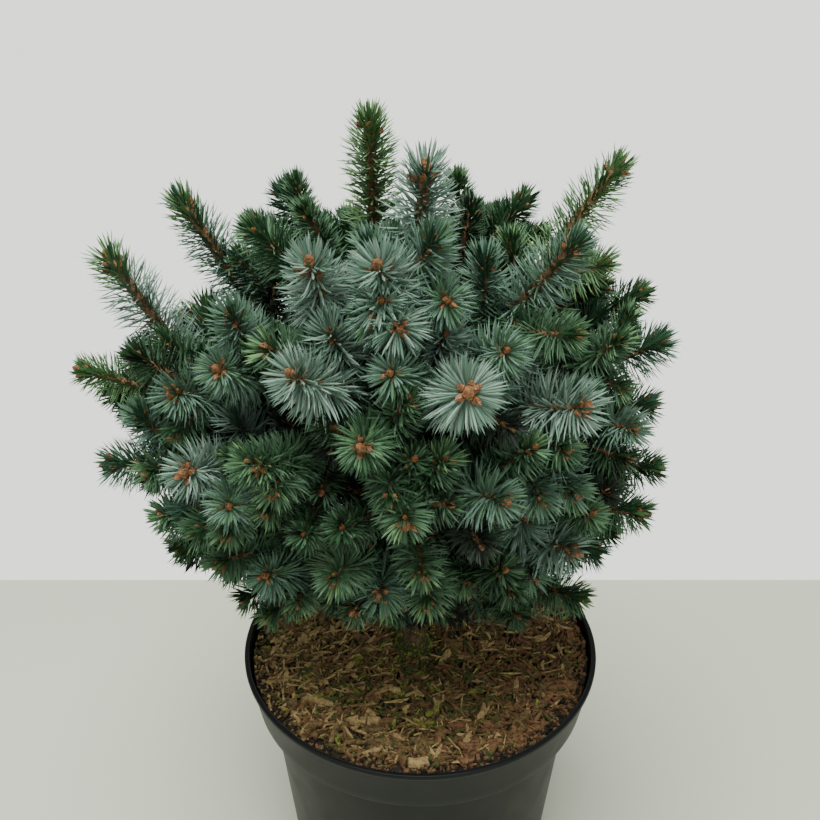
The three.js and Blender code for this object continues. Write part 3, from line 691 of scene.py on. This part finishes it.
boughShapes = []
for index, row in enumerate(rows):
    if row["bough"]:
        shares = np.linspace(0.0, row["start"], bark["boughRings"])
        radii = growth["boughRadius"] + (growth["twigRadius"] - growth["boughRadius"]) * shares / row["start"]
        boughShapes.append(tube(lambda t: curveAt(row["curve"], t), shares, radii, bark["boughSides"],
                                bark["boughRelief"], bark["boughGrain"], index))
boughPiece = makePiece("bough_bark", joinShapes(boughShapes), [boughBark], smooth=True)
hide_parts(*[f"bough_{row['name']}" for row in rows if row["bough"]])
report("trunk and boughs")

# twigs: every shoot's own stem, ridged by the pegs that the needles stand on
twigs = dict(sides=8, bareFoot=2.6, tip=1.6, fingerTip=2.4, sideFoot=1.6, sideTip=1.25, relief=0.5, grain=1.3,
             fingerSteep=0.6, taper=0.6, sideBare=0.1, level=22, range=40, levelInset=0.4)
kinds = dict(  # how far an upright shoot's stem ends inside its reach, its needles' share of the full length
    # and their number to the millimetre, the size of its buds, and the rings of its stem
    main=dict(inset=7.0, long=1.0, needles=8.5, bud=1.0, rings=48),
    side=dict(inset=6.0, long=0.95, needles=7.9, bud=0.78, rings=20),
    fine=dict(inset=4.5, long=0.88, needles=7.4, bud=0.6, rings=10))


def shootOf(row, curve, kind, start, brushStart, tone=None):
    # a shoot with its stem's share of the curve: an upright one's needles reach on past its last bud, and on
    # a level one the buds stand foremost. steep is 0 for a level shoot and 1 for an upright finger, by the
    # rise of its tip
    length = curveLength(curve)
    rise = math.degrees(math.asin(float(curveAhead(curve, 1.0)[2])))
    steep = float(smoothStep((rise - twigs["level"]) / twigs["range"]))
    stout = kind == "main" and row["tone"] == "silver"
    inset = kinds[kind]["inset"] * (twigs["levelInset"] + (0 if stout else (1 - twigs["levelInset"]) * steep))
    return dict(row=row, curve=curve, kind=kind, length=length, start=start, brushStart=brushStart,
                steep=steep, stout=stout, tone=tone, end=1 - inset / length)


def twigShape(shoot, seed):
    # a tube whose radius falls from foot to tip by a power of the way along
    isMain, share = shoot["kind"] == "main", np.linspace(0, 1, kinds[shoot["kind"]]["rings"])
    foot = growth["twigRadius"] if shoot["row"]["bough"] else twigs["bareFoot"]
    foot = foot if isMain else twigs["sideFoot"]
    tip = twigs["sideTip" if not isMain else "fingerTip" if shoot["steep"] > twigs["fingerSteep"] else "tip"]
    radii = foot + (tip - foot) * share ** twigs["taper"]
    return tube(lambda t: curveAt(shoot["curve"], t), np.linspace(shoot["start"], shoot["end"], len(share)),
                radii, twigs["sides"], twigs["relief"], twigs["grain"], seed)


shoots = []
for row in rows:
    shoots.append(shootOf(row, row["curve"], "main", row["start"], row["brushStart"]))
    shoots += [shootOf(row, side["curve"], side["kind"], 0.0, twigs["sideBare"], side["tone"])
               for side in row["sides"]]
twigShapes = [twigShape(shoot, 20 + index) for index, shoot in enumerate(shoots)]
makePiece("twigs", joinShapes(twigShapes), [twigBark], smooth=True)
report(f"{len(shoots)} twigs")

# needles: three-sided spindles on a golden-angle spiral round each shoot
needle = dict(length=dict(silver=17.2, blue=15.0, fresh=13.0, green=13.5, deep=13.0, old=12.0),
              backShare=0.92, width=0.97, thick=0.85, bend=1.5, fat=(0.88, 1.16), steepGain=0.25,
              crowding=1.25, radius=1.2, lengths=(0.92, 1.06), spread=(0.84, 1.08), fewest=4, bare=2.2,
              farSide=40, seed=5)
# in degrees from the stem's line, for level and for upright shoots at their feet and at their tips
lean = dict(level=86, steep=78, levelTip=40, steepTip=37, stoutTip=50, spread=12, turnSpread=9, sag=13,
            lift=0.04, golden=137.508, easing=0.7)
# how far from the tip the needles lean forwards and stay short, and how far from the foot
tuft = dict(reach=17.0, shortest=0.74, growing=15.0, footShare=0.7, footReach=9)
dish = dict(lean=62, reach=7.0, shortest=0.88)  # the open rosette in the middle
oldNeedles = dict(perMillimetre=5.0, reach=0.5, length=12.0, radius=1.8, past=0.3, deepest=0.25)
# how often a shoot or a needle takes a darker tone, and a young needle a greener one; the fine twigs' darker
# tones are painted shade
mix = dict(silverSide=0.15, side=0.4, fine=0.6, silver=0.42, needle=0.26, young=0.24, skyYoung=0.7,
           youngReach=5.5, youngSteep=2.5)
nextTones = dict(silver="blue", blue="green", fresh="green", green="deep", deep="old", old="old")
tipTones = dict(silver="blue", blue="green", fresh="fresh", green="fresh", deep="green", old="old")
toneAt = {name: i for i, name in enumerate(needleTones)}
# the fingers against the sky are more open, and the inner twigs are half bare
skyFingers = ("leader", "left_spire", "left_finger", "right_spire")
openness = dict(sky=0.88, inner=0.65)
# rings of a needle as a share of its length and of its girth: two for those near the camera, else one
fullPlaces = ((0.1, 0.85), (0.74, 0.9))
onePlace = ((0.5, 1.3),)


def needleRoots(shoot, start, end, perMillimetre, crowding, rng):
    # shares of the curve for the roots, closer together towards the tip: 1 - (1 - u)^crowding
    count = max(needle["fewest"], int((end - start) * shoot["length"] * perMillimetre))
    u = (np.arange(count) + rng.uniform(0.0, 1.0, count)) / count
    return start + (end - start) * (1 - (1 - u) ** crowding)


def brush(shoot, share, full, radius, rng):
    # root, direction, inner side and length of each needle: it leaves the stem at its lean from the
    # stem's line, cos lean ahead + sin lean out, less near the tip, and is drawn a little upwards
    curve, steep, count = shoot["curve"], shoot["steep"], len(share)
    centre, ahead = curveAt(curve, share), curveAhead(curve, share)
    across, other = framesAlong(ahead)
    turn = np.radians(np.arange(count) * lean["golden"] + rng.uniform(0, 360)
                      + rng.normal(0, lean["turnSpread"], count))
    out = np.cos(turn)[:, None] * across + np.sin(turn)[:, None] * other
    fromTip = (shoot["end"] - share) * shoot["length"]
    fromFoot = (share - share.min()) * shoot["length"]
    atFoot = lean["level"] + (lean["steep"] - lean["level"]) * steep
    atTip = lean["levelTip"] + (lean["steepTip"] - lean["levelTip"]) * steep
    atTip = lean["stoutTip"] if shoot["stout"] else atTip
    reach, shortest = tuft["reach"], tuft["shortest"]
    if shoot["row"]["name"] == "front_dish" and shoot["stout"]:
        atTip, reach, shortest = dish["lean"], dish["reach"], dish["shortest"]
    angle = atTip + (atFoot - atTip) * smoothStep(fromTip / reach) ** lean["easing"]
    angle += rng.normal(0, lean["spread"], count)
    # those on the underside stand off further back than those on top
    angle = np.radians(angle - lean["sag"] * out[:, 2])[:, None]
    direction = unit(np.cos(angle) * ahead + np.sin(angle) * out + up * lean["lift"])
    inner = unit(ahead - (ahead * direction).sum(1, keepdims=True) * direction)
    long = full * kinds[shoot["kind"]]["long"] * rng.uniform(*needle["spread"], count)
    long *= shortest + (1 - shortest) * smoothStep(fromTip / tuft["growing"])
    long *= tuft["footShare"] + (1 - tuft["footShare"]) * smoothStep(fromFoot / tuft["footReach"])
    return centre + out * radius, direction, inner, long


def needleShape(root, direction, inner, long, ringPlaces, rng):
    # a spindle: root + direction L t + inner b t^2, with rings of three corners: two edges and a keel on
    # the side towards the tip. The first two faces of a ring are its bloomed ones
    side = np.cross(inner, direction)
    fat = rng.uniform(*needle["fat"], len(root))

    def at(t):
        return root + direction * (long * t)[:, None] + inner * (needle["bend"] * t * t)
    rings = []
    for t, wide in ringPlaces:
        w = (needle["width"] * fat * wide / 2)[:, None]
        h = (needle["thick"] * fat * wide / 2)[:, None]
        rings.append(np.stack([at(t) + side * w, at(t) + inner * h, at(t) - side * w], 1))
    return np.stack(rings, 1), np.stack([at(0.0), at(1.0)], 1)


def regionOf(row):
    # the crown's top in two halves, and seven sectors round it, the fullest of them in two tiers
    if row["name"] == "leader" or row["height"] > 215:
        return "top_back" if row["name"] == "leader" or row["azimuth"] < 180 else "top_front"
    sectors = ["right", "back_right", "back_left", "left", "front_left", "front", "front_right"]
    sector = sectors[int(np.searchsorted([32, 95, 160, 212, 256, 292, 328], row["azimuth"] % 360)) % 7]
    return sector if sector != "right" else "right_high" if row["height"] > 140 else "right_low"


def toneOf(shoot, rng):
    # the row's own tone, further down the scale at random on some side shoots, and one or two steps darker
    # on every fine one, as painted shade inside the crown
    if shoot["tone"]:
        return shoot["tone"]
    tone = shoot["row"]["tone"]
    if shoot["kind"] == "side" and rng.random() < mix["silverSide" if tone == "silver" else "side"]:
        return nextTones[tone]
    # the fine twigs grow inside the crown, so they always take one or two darker tones: painted shade
    if shoot["kind"] == "fine":
        return nextTones[tone] if rng.random() < mix["fine"] else nextTones[nextTones[tone]]
    return tone


def shadesOf(shoot, share, tone, skyward, rng):
    # a tone's number for each needle: some are a tone darker, and the youngest round the bud are greener
    shade = np.full(len(share), toneAt[tone])
    shade[rng.random(len(share)) < mix["silver" if tone == "silver" else "needle"]] = toneAt[nextTones[tone]]
    young = (shoot["end"] - share) * shoot["length"] < mix["youngReach"] + mix["youngSteep"] * shoot["steep"]
    shade[young & (rng.random(len(share)) < mix["young"])] = toneAt[tipTones[tone]]
    if skyward:
        shade[young & (rng.random(len(share)) < mix["skyYoung"] * shoot["steep"])] = toneAt["fresh"]
    return shade


def facesOf(shade, ringCount):
    # a material for each face: a tone's inner one on the faces before and after the keel, else its outer
    face = np.array([1, 1, 0])
    return [(shade[:, None] * 2 + np.tile(face, times)).ravel() for times in (ringCount - 1, 2)]


regions = {name: dict(full=[], plain=[]) for name in
           ("top_front", "top_back", "left", "front_left", "front", "front_right", "right_high", "right_low",
            "back_right", "back_left")}
rng = np.random.default_rng(needle["seed"])
for shoot in shoots:
    row, kind, steep = shoot["row"], shoot["kind"], shoot["steep"]
    region = regions[regionOf(row)]
    tone = toneOf(shoot, rng)
    skyward = kind != "fine" and row["name"] in skyFingers
    density = kinds[kind]["needles"] * (1 + needle["steepGain"] * steep)
    density *= openness["sky"] if skyward else openness["inner"] if shoot["tone"] == "old" else 1.0
    last = shoot["end"] - needle["bare"] * (1 - steep) / shoot["length"]
    share = needleRoots(shoot, shoot["brushStart"], last, density, needle["crowding"], rng)
    plain = kind == "fine" or row["tip"][1] > needle["farSide"]
    full = needle["length"][tone] * (needle["backShare"] if row["tip"][1] > 0 else 1.0)
    parts = brush(shoot, share, full * rng.uniform(*needle["lengths"]), needle["radius"], rng)
    shade = shadesOf(shoot, share, tone, skyward, rng)
    region["plain" if plain else "full"].append(
        (*needleShape(*parts, onePlace if plain else fullPlaces, rng), shade))
    if kind == "main" and shoot["brushStart"] > oldNeedles["past"]:
        # last year's needles, dull and fewer, on the bare stretch inside the crown, in the near black painted
        # shade tone for the shade there
        start = max(oldNeedles["deepest"], shoot["brushStart"] - oldNeedles["reach"])
        share = needleRoots(shoot, start, shoot["brushStart"], oldNeedles["perMillimetre"], 1.0, rng)
        parts = brush(shoot, share, oldNeedles["length"], oldNeedles["radius"], rng)
        region["plain"].append((*needleShape(*parts, onePlace, rng), np.full(len(share), toneAt["old"])))

total = 0
for name, region in regions.items():
    shapes, tones = [], []
    for rings, ends, shade in [map(np.concatenate, zip(*part)) for part in region.values() if part]:
        shapes.append(loftMany(rings, ends))
        tones.append(facesOf(shade, rings.shape[1]))
        total += len(shade)
    shape = joinShapes(shapes)
    piece = makePiece(f"needles_{name}", shape, needleMaterials,
                      np.concatenate([t[i] for i in range(2) for t in tones]))
    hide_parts(*[f"foliage_{row['name']}" for row in rows if regionOf(row) == name])
    report(f"needles_{name}: {triangles(shape)}")
report(f"{total} needles")

# buds: a fat one at each tip with smaller ones round it, and some down the fingers
bud = dict(length=5.2, radius=2.05, sideLength=4.4, sideRadius=1.45, stout=1.14, sizes=(0.85, 1.1), sides=8,
           ruffle=0.12, rise=[0.04, 0.24, 0.46, 0.68, 0.87], girth=[0.72, 1.0, 0.96, 0.74, 0.42], foot=0.3,
           point=1.02, sunk=1.0, seed=8)
shoulder = dict(fine=(0, 3), coarse=(3, 6), stout=5, turn=80, turnSpread=15, lengths=(0.75, 1.05),
                radii=(0.8, 1.0), nearest=0.6, furthest=3.0, steepFurther=2.5, out=1.7, steepOut=1.2,
                ahead=0.8, lean=0.9)
flank = dict(first=12.0, last=30, steepLast=26, spacing=10.0, spread=2, lowest=0.15, chance=0.2,
             steepChance=0.5, out=1.2, ahead=0.7, size=0.9)


def budShapes(base, direction, long, radius, rng):
    # an egg of overlapping scales: rings whose radius follows sin of the way up, each turned half a step,
    # with every other corner a little prouder
    across, other = [v[:, 0, None, None] for v in framesAlong(direction[:, None, :])]
    rise, girth, k = np.array(bud["rise"]), np.array(bud["girth"]), np.arange(bud["sides"])
    a = (k + 0.5 * np.arange(len(rise))[:, None]) / bud["sides"] * 2 * np.pi
    r = radius[:, None, None] * girth[:, None] * (1 + bud["ruffle"] * np.where(k % 2 == 0, 1, -1))
    centre = base[:, None] + direction[:, None] * (long[:, None] * rise)[..., None]
    a = a + rng.uniform(0, 6.28, len(base))[:, None, None]
    rings = centre[:, :, None] + (r * np.cos(a))[..., None] * across + (r * np.sin(a))[..., None] * other
    foot, point = base - direction * bud["foot"], base + direction * long[:, None] * bud["point"]
    return loftMany(rings, np.stack([foot, point], 1))


def outwards(ahead, a):
    # the direction square to a line at an angle round it: across cos a + other sin a
    across, other = framesAlong(ahead[None])
    return across[0] * math.cos(a) + other[0] * math.sin(a)


def budsOf(shoot, rng):
    # rows of base, direction, length and radius: one bud on the shoot's end, others round its shoulder,
    # and more down the sides of a steep one
    curve, steep, isFine = shoot["curve"], shoot["steep"], shoot["kind"] == "fine"
    scale = (bud["stout"] if shoot["stout"] else kinds[shoot["kind"]]["bud"]) * rng.uniform(*bud["sizes"])
    sideLong, sideRadius = bud["sideLength"] * scale, bud["sideRadius"] * scale
    tip, ahead = curveAt(curve, shoot["end"]), curveAhead(curve, shoot["end"])
    buds = [(tip - ahead * bud["sunk"], ahead, bud["length"] * scale, bud["radius"] * scale)]
    turn = rng.uniform(0, 360)
    if shoot["stout"] and not isFine:
        count = shoulder["stout"]
    else:
        count = rng.integers(*shoulder["fine" if isFine else "coarse"])
    furthest = shoulder["furthest"] + shoulder["steepFurther"] * steep
    for i in range(count):
        swing = rng.uniform(-shoulder["turnSpread"], shoulder["turnSpread"])
        out = outwards(ahead, math.radians(turn + shoulder["turn"] * i + swing))
        long = sideLong * rng.uniform(*shoulder["lengths"])
        place = (tip - ahead * rng.uniform(shoulder["nearest"], furthest)
                 + out * (shoulder["out"] + shoulder["steepOut"] * steep))
        buds.append((place, unit(ahead * shoulder["ahead"] + out * shoulder["lean"]), long,
                     sideRadius * rng.uniform(*shoulder["radii"])))
    if isFine:
        return buds
    backs = np.arange(flank["first"], flank["last"] + flank["steepLast"] * steep, flank["spacing"])
    for back in backs + rng.uniform(-flank["spread"], flank["spread"]):
        at = shoot["end"] - back / shoot["length"]
        if at >= flank["lowest"] and rng.random() <= flank["chance"] + flank["steepChance"] * steep:
            along = curveAhead(curve, at)
            out = outwards(along, rng.uniform(0, 2 * np.pi))
            buds.append((curveAt(curve, at) + out * flank["out"], unit(along * flank["ahead"] + out),
                         sideLong * flank["size"], sideRadius * flank["size"]))
    return buds


rng = np.random.default_rng(bud["seed"])
budRows = [row for shoot in shoots if shoot["tone"] != "old" for row in budsOf(shoot, rng)]
budShape = budShapes(*[np.array(column) for column in zip(*budRows)], rng)
makePiece("buds", budShape, [budScales])
report(f"{len(budRows)} buds")

# mulch: dark humus under bark chips, straw and green crumbs; the humus is set near black, painted shade for
# the gaps between the chips
mulch = dict(radius=90.6, flakes=1700, crumbs=4600, rimCrumbs=1000, splinters=2300, straws=420, greens=1700,
             footMoss=1100, relief=2.04, lumps=((1, 14, 1.2), (2, 5, 0.9), (3, 2, 0.5)), rings=90,
             spokes=220, even=1.3, middle=0.02, crowding=0.8, gap=0.3,
             # the drift moves darker chips to the front right and lighter ones to the back left: partly the
             # mulch's own colours, partly painted shade in front and painted light at the back left under the
             # crown
             toneAndShadeDrift=(0.3, -0.25), seed=4)
# how square a chip is, how uneven, how far it may be tipped, and its two rings as shares of its sizes
chip = dict(square=0.6, cornerSpread=0.22, radii=(0.7, 1.1), thickSpread=0.25, steepest=0.7, low=-0.3,
            high=0.7, topLong=0.9, topWide=0.86, foot=-0.4, ridge=0.85, ridgeShift=0.1)
# where the green crumbs gather, as shares of their number with a middle and a spread: in front, and round
# the stem's foot
green = dict(front=0.4, frontX=(-2, 30), frontY=(-42, 20), foot=0.65, footX=(-4, 12), footY=(-10, 10),
             edge=5, inwards=0.6)
mulchLow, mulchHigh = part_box("mulch")


def mulchHeight(x, y):
    # level at the rim, a little higher in the middle, with lumps of value noise in a few sizes
    r = np.hypot(x, y) / mulch["radius"]
    lumps = sum(noise(x / size + 9, y / size + 9, seed) * part for seed, size, part in mulch["lumps"])
    dome = pot["mulchCrown"] * np.clip(1 - r * r, 0, 1)
    return pot["height"] - pot["mulchDrop"] + dome + mulch["relief"] * (lumps - mulch["even"])


def humusShape():
    # a disc of rings and spokes raised by the height above, with the plug's side and underside below it
    a = np.linspace(0, 2 * np.pi, mulch["spokes"], endpoint=False)
    shares = np.linspace(mulch["middle"], 1, mulch["rings"])[::-1, None]
    r = mulch["radius"] * shares ** mulch["crowding"]
    x, y = r * np.cos(a), r * np.sin(a)
    collarFoot, low = pot["height"] - pot["collar"], pot["floor"] + mulch["gap"]
    inset = pot["wall"] + mulch["gap"] * 2
    side = [(pot["base"] - inset, low), (pot["bodyTop"] - inset, collarFoot - 0.2),
            (pot["collarFoot"] - inset, collarFoot + 3)]
    wall = np.stack([np.stack([r * np.cos(a), r * np.sin(a), np.full_like(a, z)], -1) for r, z in side])
    grid = np.concatenate([wall, np.stack([x, y, mulchHeight(x, y)], -1)])
    return loftMany(grid[None], np.array([[[0, 0, low], [0, 0, mulchHeight(0.0, 0.0)]]]))


def chipShapes(x, y, lift, long, wide, thick, slope, rng, corners=6, bow=0.0, yaw=None):
    # flat chips: an uneven ring of corners set square, |cos|^0.6 and |sin|^0.6, as a lower and an upper ring
    # with a low ridge, bowed sideways by bow (1 - u^2), turned by yaw and tipped by a tilt about a level axis
    count = len(x)
    yaw = rng.uniform(0, 6.28, count) if yaw is None else yaw
    tilt = rng.normal(0, slope, count).clip(-chip["steepest"], chip["steepest"])
    a = np.arange(corners) / corners * 2 * np.pi + rng.normal(0, chip["cornerSpread"], (count, corners))
    r = rng.uniform(*chip["radii"], (count, corners))
    u, v = [np.sign(w) * np.abs(w) ** chip["square"] * r * size[:, None] * 0.5
            for w, size in ((np.cos(a), long), (np.sin(a), wide))]
    v += rng.normal(0, 1, (count, 1)) * bow * (1 - (2 * u / long[:, None]) ** 2)
    h = thick[:, None] * (1 + rng.uniform(-chip["thickSpread"], chip["thickSpread"], (count, corners)))
    rings = np.stack([np.stack([u, v, chip["low"] * h], -1),
                      np.stack([u * chip["topLong"], v * chip["topWide"], chip["high"] * h], -1)], 1)
    ends = np.stack([np.stack([0 * x, 0 * x, chip["foot"] * thick], -1),
                     np.stack([chip["ridgeShift"] * long, 0 * x, chip["ridge"] * thick], -1)], 1)
    axis = rng.uniform(0, 2 * np.pi, count)
    height = mulchHeight(x, y) + lift

    def placed(p):
        # turned by yaw, then each point raised by its slope and moved to its place
        middleX, middleY, rise, turn, lean, way = [v.reshape([count] + [1] * (p.ndim - 2))
                                                   for v in (x, y, height, yaw, tilt, axis)]
        s = p[..., 0] * np.cos(turn) - p[..., 1] * np.sin(turn)
        t = p[..., 0] * np.sin(turn) + p[..., 1] * np.cos(turn)
        rise = rise + np.tan(lean) * (s * np.cos(way) + t * np.sin(way))
        return np.stack([s + middleX, t + middleY, p[..., 2] + rise], -1)
    return loftMany(placed(rings), placed(ends))


mulchMaterials = [fibrousMaterial(mulchLook, name, low, high, grain, 0.6, roughness)
                  for name, low, high, grain, roughness in (
    # near black humus: its own dark colour deepened into painted shade, seen in the gaps between chips and on
    # the crumbs that take it
    ("composted_humus_near_black_gap_shade", "#120f09", "#332a18", 2.2, 0.92),
    ("chipped_bark_dark_olive_brown", "#312815", "#7d673b", 2.2, 0.92),
    ("chipped_bark_tan", "#6e5b36", "#ae9765", 2.0, 0.92),
    ("chipped_bark_red_brown", "#402c1b", "#85603d", 2.2, 0.92),
    ("dry_straw_fibre", "#776638", "#b9a670", 2.0, 0.8),
    ("damp_moss_yellow_green", "#434b1c", "#878c38", 2.0, 0.92),
    ("damp_moss_dark_green", "#252e12", "#4a5424", 2.0, 0.92))]
humusAndGapShade, olive, tan, redBrown, straw, moss, darkMoss = range(len(mulchMaterials))
# azimuth, distance from the middle, length, width, yaw and material of the largest pieces, which lie on top
bigChips = [
    (220, 68, 24, 5, -20, tan), (245, 64, 18, 6, -8, tan), (240, 50, 9, 6, 5, redBrown),
    (257, 73, 20, 5, -5, olive), (269, 84, 11, 6, 10, tan), (284, 85, 8, 5, -30, redBrown),
    (300, 60, 15, 4, 70, tan), (312, 74, 14, 5, 40, olive), (325, 60, 17, 4, 80, tan),
    (216, 76, 15, 4, 60, olive), (280, 48, 15, 4, 75, tan), (243, 42, 15, 4, 35, tan),
    (205, 60, 13, 5, -70, olive), (335, 78, 12, 5, 10, redBrown), (20, 60, 18, 7, 30, tan),
    (80, 65, 20, 8, 0, olive), (140, 66, 16, 7, 50, tan), (170, 74, 18, 6, -40, redBrown)]


def mulchShapes():
    # the pieces' shapes with their materials: humus and crumbs as the bed, and on it all that lies loose
    rng = np.random.default_rng(mulch["seed"])
    bed, loose = [(humusShape(), humusAndGapShade)], []

    def scatter(count, margin):
        # places spread evenly over the disc: the radius is the root of an even number
        r, a = (mulch["radius"] - margin) * np.sqrt(rng.random(count)), rng.uniform(0, 2 * np.pi, count)
        return r * np.cos(a), r * np.sin(a)

    def strew(group, place, long, wide, thick, lift, slope, toneShares, slim=False, **more):
        # chips at those places, as wide as a share of their length or, if slim, as a size of its own. They
        # are dealt out between the materials by their shares, the first of them more often at the back left
        # and the last more often at the front right: partly the mulch's own colours, partly painted shade in
        # front, where most light falls, and painted light at the back left in the crown's shade
        x, y = place
        wide = rng.uniform(*wide, len(x)) * (1 if slim else long)
        thick = rng.uniform(*thick, len(x))
        rightwards, backwards = mulch["toneAndShadeDrift"]
        order = np.argsort(rng.random(len(x)) + (rightwards * x + backwards * y) / mulch["radius"])
        cuts = np.cumsum([int(share * len(x)) for _, share in toneShares[:-1]])
        for (tone, _), part in zip(toneShares, np.split(order, cuts)):
            group.append((chipShapes(x[part], y[part], rng.uniform(*lift, len(part)), long[part], wide[part],
                                     thick[part], slope, rng, **more), tone))

    # crumbs under everything, and a row of them along the pot's wall
    long = rng.uniform(1.4, 4.0, mulch["crumbs"])
    strew(bed, scatter(len(long), 2.0), long, (0.35, 0.8), (0.5, 1.5), (-0.2, 0.7), 0.35,
          [(tan, 0.1), (olive, 0.34), (humusAndGapShade, 0.44), (redBrown, 0.12)], corners=5)
    a = rng.uniform(0, 2 * np.pi, mulch["rimCrumbs"])
    r = mulch["radius"] - 0.8 - rng.exponential(2.5, len(a))
    strew(bed, (r * np.cos(a), r * np.sin(a)), rng.uniform(1.5, 3.6, len(a)), (0.4, 0.8), (0.6, 1.4),
          (0.0, 2.0), 0.25, [(tan, 0.14), (olive, 0.34), (humusAndGapShade, 0.32), (redBrown, 0.2)], corners=5)
    # flakes of bark, most of them small
    long = 4.5 + rng.exponential(3.6, mulch["flakes"]).clip(0, 11)
    strew(loose, scatter(len(long), 6.0), long, (0.15, 0.36), (0.8, 1.8), (0.4, 2.2), 0.28,
          [(tan, 0.28), (olive, 0.46), (redBrown, 0.26)], bow=0.5)
    # splinters, straws that bend, and needle litter
    long = rng.uniform(5, 13, mulch["splinters"])
    strew(loose, scatter(len(long), 6.5), long, (0.7, 1.35), (0.6, 1.1), (0.8, 2.8), 0.24,
          [(tan, 0.32), (olive, 0.42), (redBrown, 0.26)], slim=True, bow=0.8)
    place = scatter(mulch["straws"], 8)
    strew(loose, place, rng.uniform(5, 14, mulch["straws"]), (0.4, 0.8), (0.35, 0.6), (1.6, 3.4), 0.16,
          [(straw, 0.55), (tan, 0.45)], slim=True, corners=8, bow=1.5)
    # green crumbs, thickest at the front and round the stem's foot
    count = mulch["greens"]
    x, y = scatter(count, 5)
    kind = rng.random(count)
    inFront, atFoot = kind < green["front"], kind < green["foot"]
    x, y = [np.where(inFront, rng.normal(*green[front], count),
                     np.where(atFoot, rng.normal(*green[foot], count), v))
            for v, front, foot in ((x, "frontX", "footX"), (y, "frontY", "footY"))]
    inwards = np.where(np.hypot(x, y) > mulch["radius"] - green["edge"], green["inwards"], 1.0)
    strew(loose, (x * inwards, y * inwards), 1.8 + rng.exponential(2.4, count).clip(0, 9), (0.16, 0.42),
          (0.4, 1.1), (0.8, 2.8), 0.25, [(moss, 0.4), (darkMoss, 0.6)])
    # moss that climbs the foot of the stem: flakes stood on its flare
    count = mulch["footMoss"]
    a, lift = rng.uniform(0, 2 * np.pi, count), rng.exponential(5.5, count).clip(0, 18)
    r = stemRadiusAt(lift / 200) - 0.6 + rng.uniform(0, 1.0, count)
    long = rng.uniform(1.2, 3.0, count)
    x, y = stem["foot"][0] + r * np.cos(a), stem["foot"][1] + r * np.sin(a)
    for tone, part in ((moss, slice(0, count // 3)), (darkMoss, slice(count // 3, count))):
        loose.append((chipShapes(x[part], y[part], lift[part], long[part], long[part] * 0.6, long[part] * 0.4,
                                 0.6, rng, corners=5), tone))
    for azimuth, r, long, wide, yaw, tone in bigChips:
        x, y = r * math.cos(math.radians(azimuth)), r * math.sin(math.radians(azimuth))
        sizes = [np.array([float(v)]) for v in (x, y, 1.6, long, wide, 2.0)]
        loose.append((chipShapes(*sizes, 0.1, rng, 9, 0.6, np.radians([yaw])), tone))
    return dict(mulch_bed=bed, bark_mulch=loose)


for name, parts in mulchShapes().items():
    shape = joinShapes([part for part, _ in parts])
    tones = np.concatenate([np.full(len(faces[i]), tone) for i in range(2) for (_, faces), tone in parts])
    piece = makePiece(name, shape, mulchMaterials, tones)
    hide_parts("mulch")
    report(f"{name}: {triangles(shape)}")
report(f"mulch, from {mulchLow[2]:.3f} to {mulchHigh[2]:.3f} m in the solids")

# table, backdrop and light
table = dict(halfWidth=1600.0, front=-1300.0, back=240.6, colour="#cbcfba")
backdrop = dict(halfWidth=2600.0, place=2500.0, low=-3000.0, high=900.0, colour="#dfe2dc", glow=2.3)
room = dict(colour="#e4e8e4", strength=0.55)


def plate(name, halfWidth, near, far, material):
    # one face between two level lines, each at a depth and a height
    mesh = bpy.data.meshes.new(name)
    corners = [(-halfWidth, *near), (halfWidth, *near), (halfWidth, *far), (-halfWidth, *far)]
    mesh.from_pydata([[v * metres for v in corner] for corner in corners], [], [(0, 1, 2, 3)])
    mesh.materials.append(material)
    addObject(name, mesh)


# Laminate: an even pale grey with a soft, low gloss.
tableMaterial = startMaterial("laminate_table_pale_grey", {
    "Base Color": hexColour(table["colour"]), "Roughness": 0.5, "IOR": 1.5, "Specular IOR Level": 0.3})[0]
plate("table", table["halfWidth"], (table["front"], 0), (table["back"], 0), tableMaterial)

# the wall is far behind the table and hangs below it, so that it never comes before a camera at the back
backdropMaterial = startMaterial("evenly_lit_pale_wall", {
    "Base Color": (0, 0, 0, 1), "Roughness": 1.0, "Specular IOR Level": 0.0,
    "Emission Color": hexColour(backdrop["colour"]), "Emission Strength": backdrop["glow"]})[0]
plate("backdrop", backdrop["halfWidth"], (backdrop["place"], backdrop["low"]),
      (backdrop["place"], backdrop["high"]), backdropMaterial)

world = bpy.data.worlds.new("pale_room")
bpy.context.scene.world = world
world.use_nodes = True
background = world.node_tree.nodes["Background"]
background.inputs["Color"].default_value = hexColour(room["colour"])
background.inputs["Strength"].default_value = room["strength"]

lights = [  # name, place, size and power of each soft panel, all aimed at the middle of the crown
    ("ceiling_panel", (-150.0, -250.0, 1500.0), 900.0, 38.0),
    ("front_panel", (450.0, -1200.0, 900.0), 700.0, 6.0)]
for name, place, size, power in lights:
    lamp = bpy.data.lights.new(name, "AREA")
    lamp.size = size * metres
    lamp.energy = power
    panel = addObject(name, lamp)
    panel.location = [v * metres for v in place]
    away = unit(np.array(place) - np.array([crown["x"], crown["y"], 280.0]))
    level = unit(np.cross(up, away))
    panel.rotation_euler = Matrix(np.stack([level, np.cross(away, level), away], 1)).to_euler()
report("table, backdrop and light")
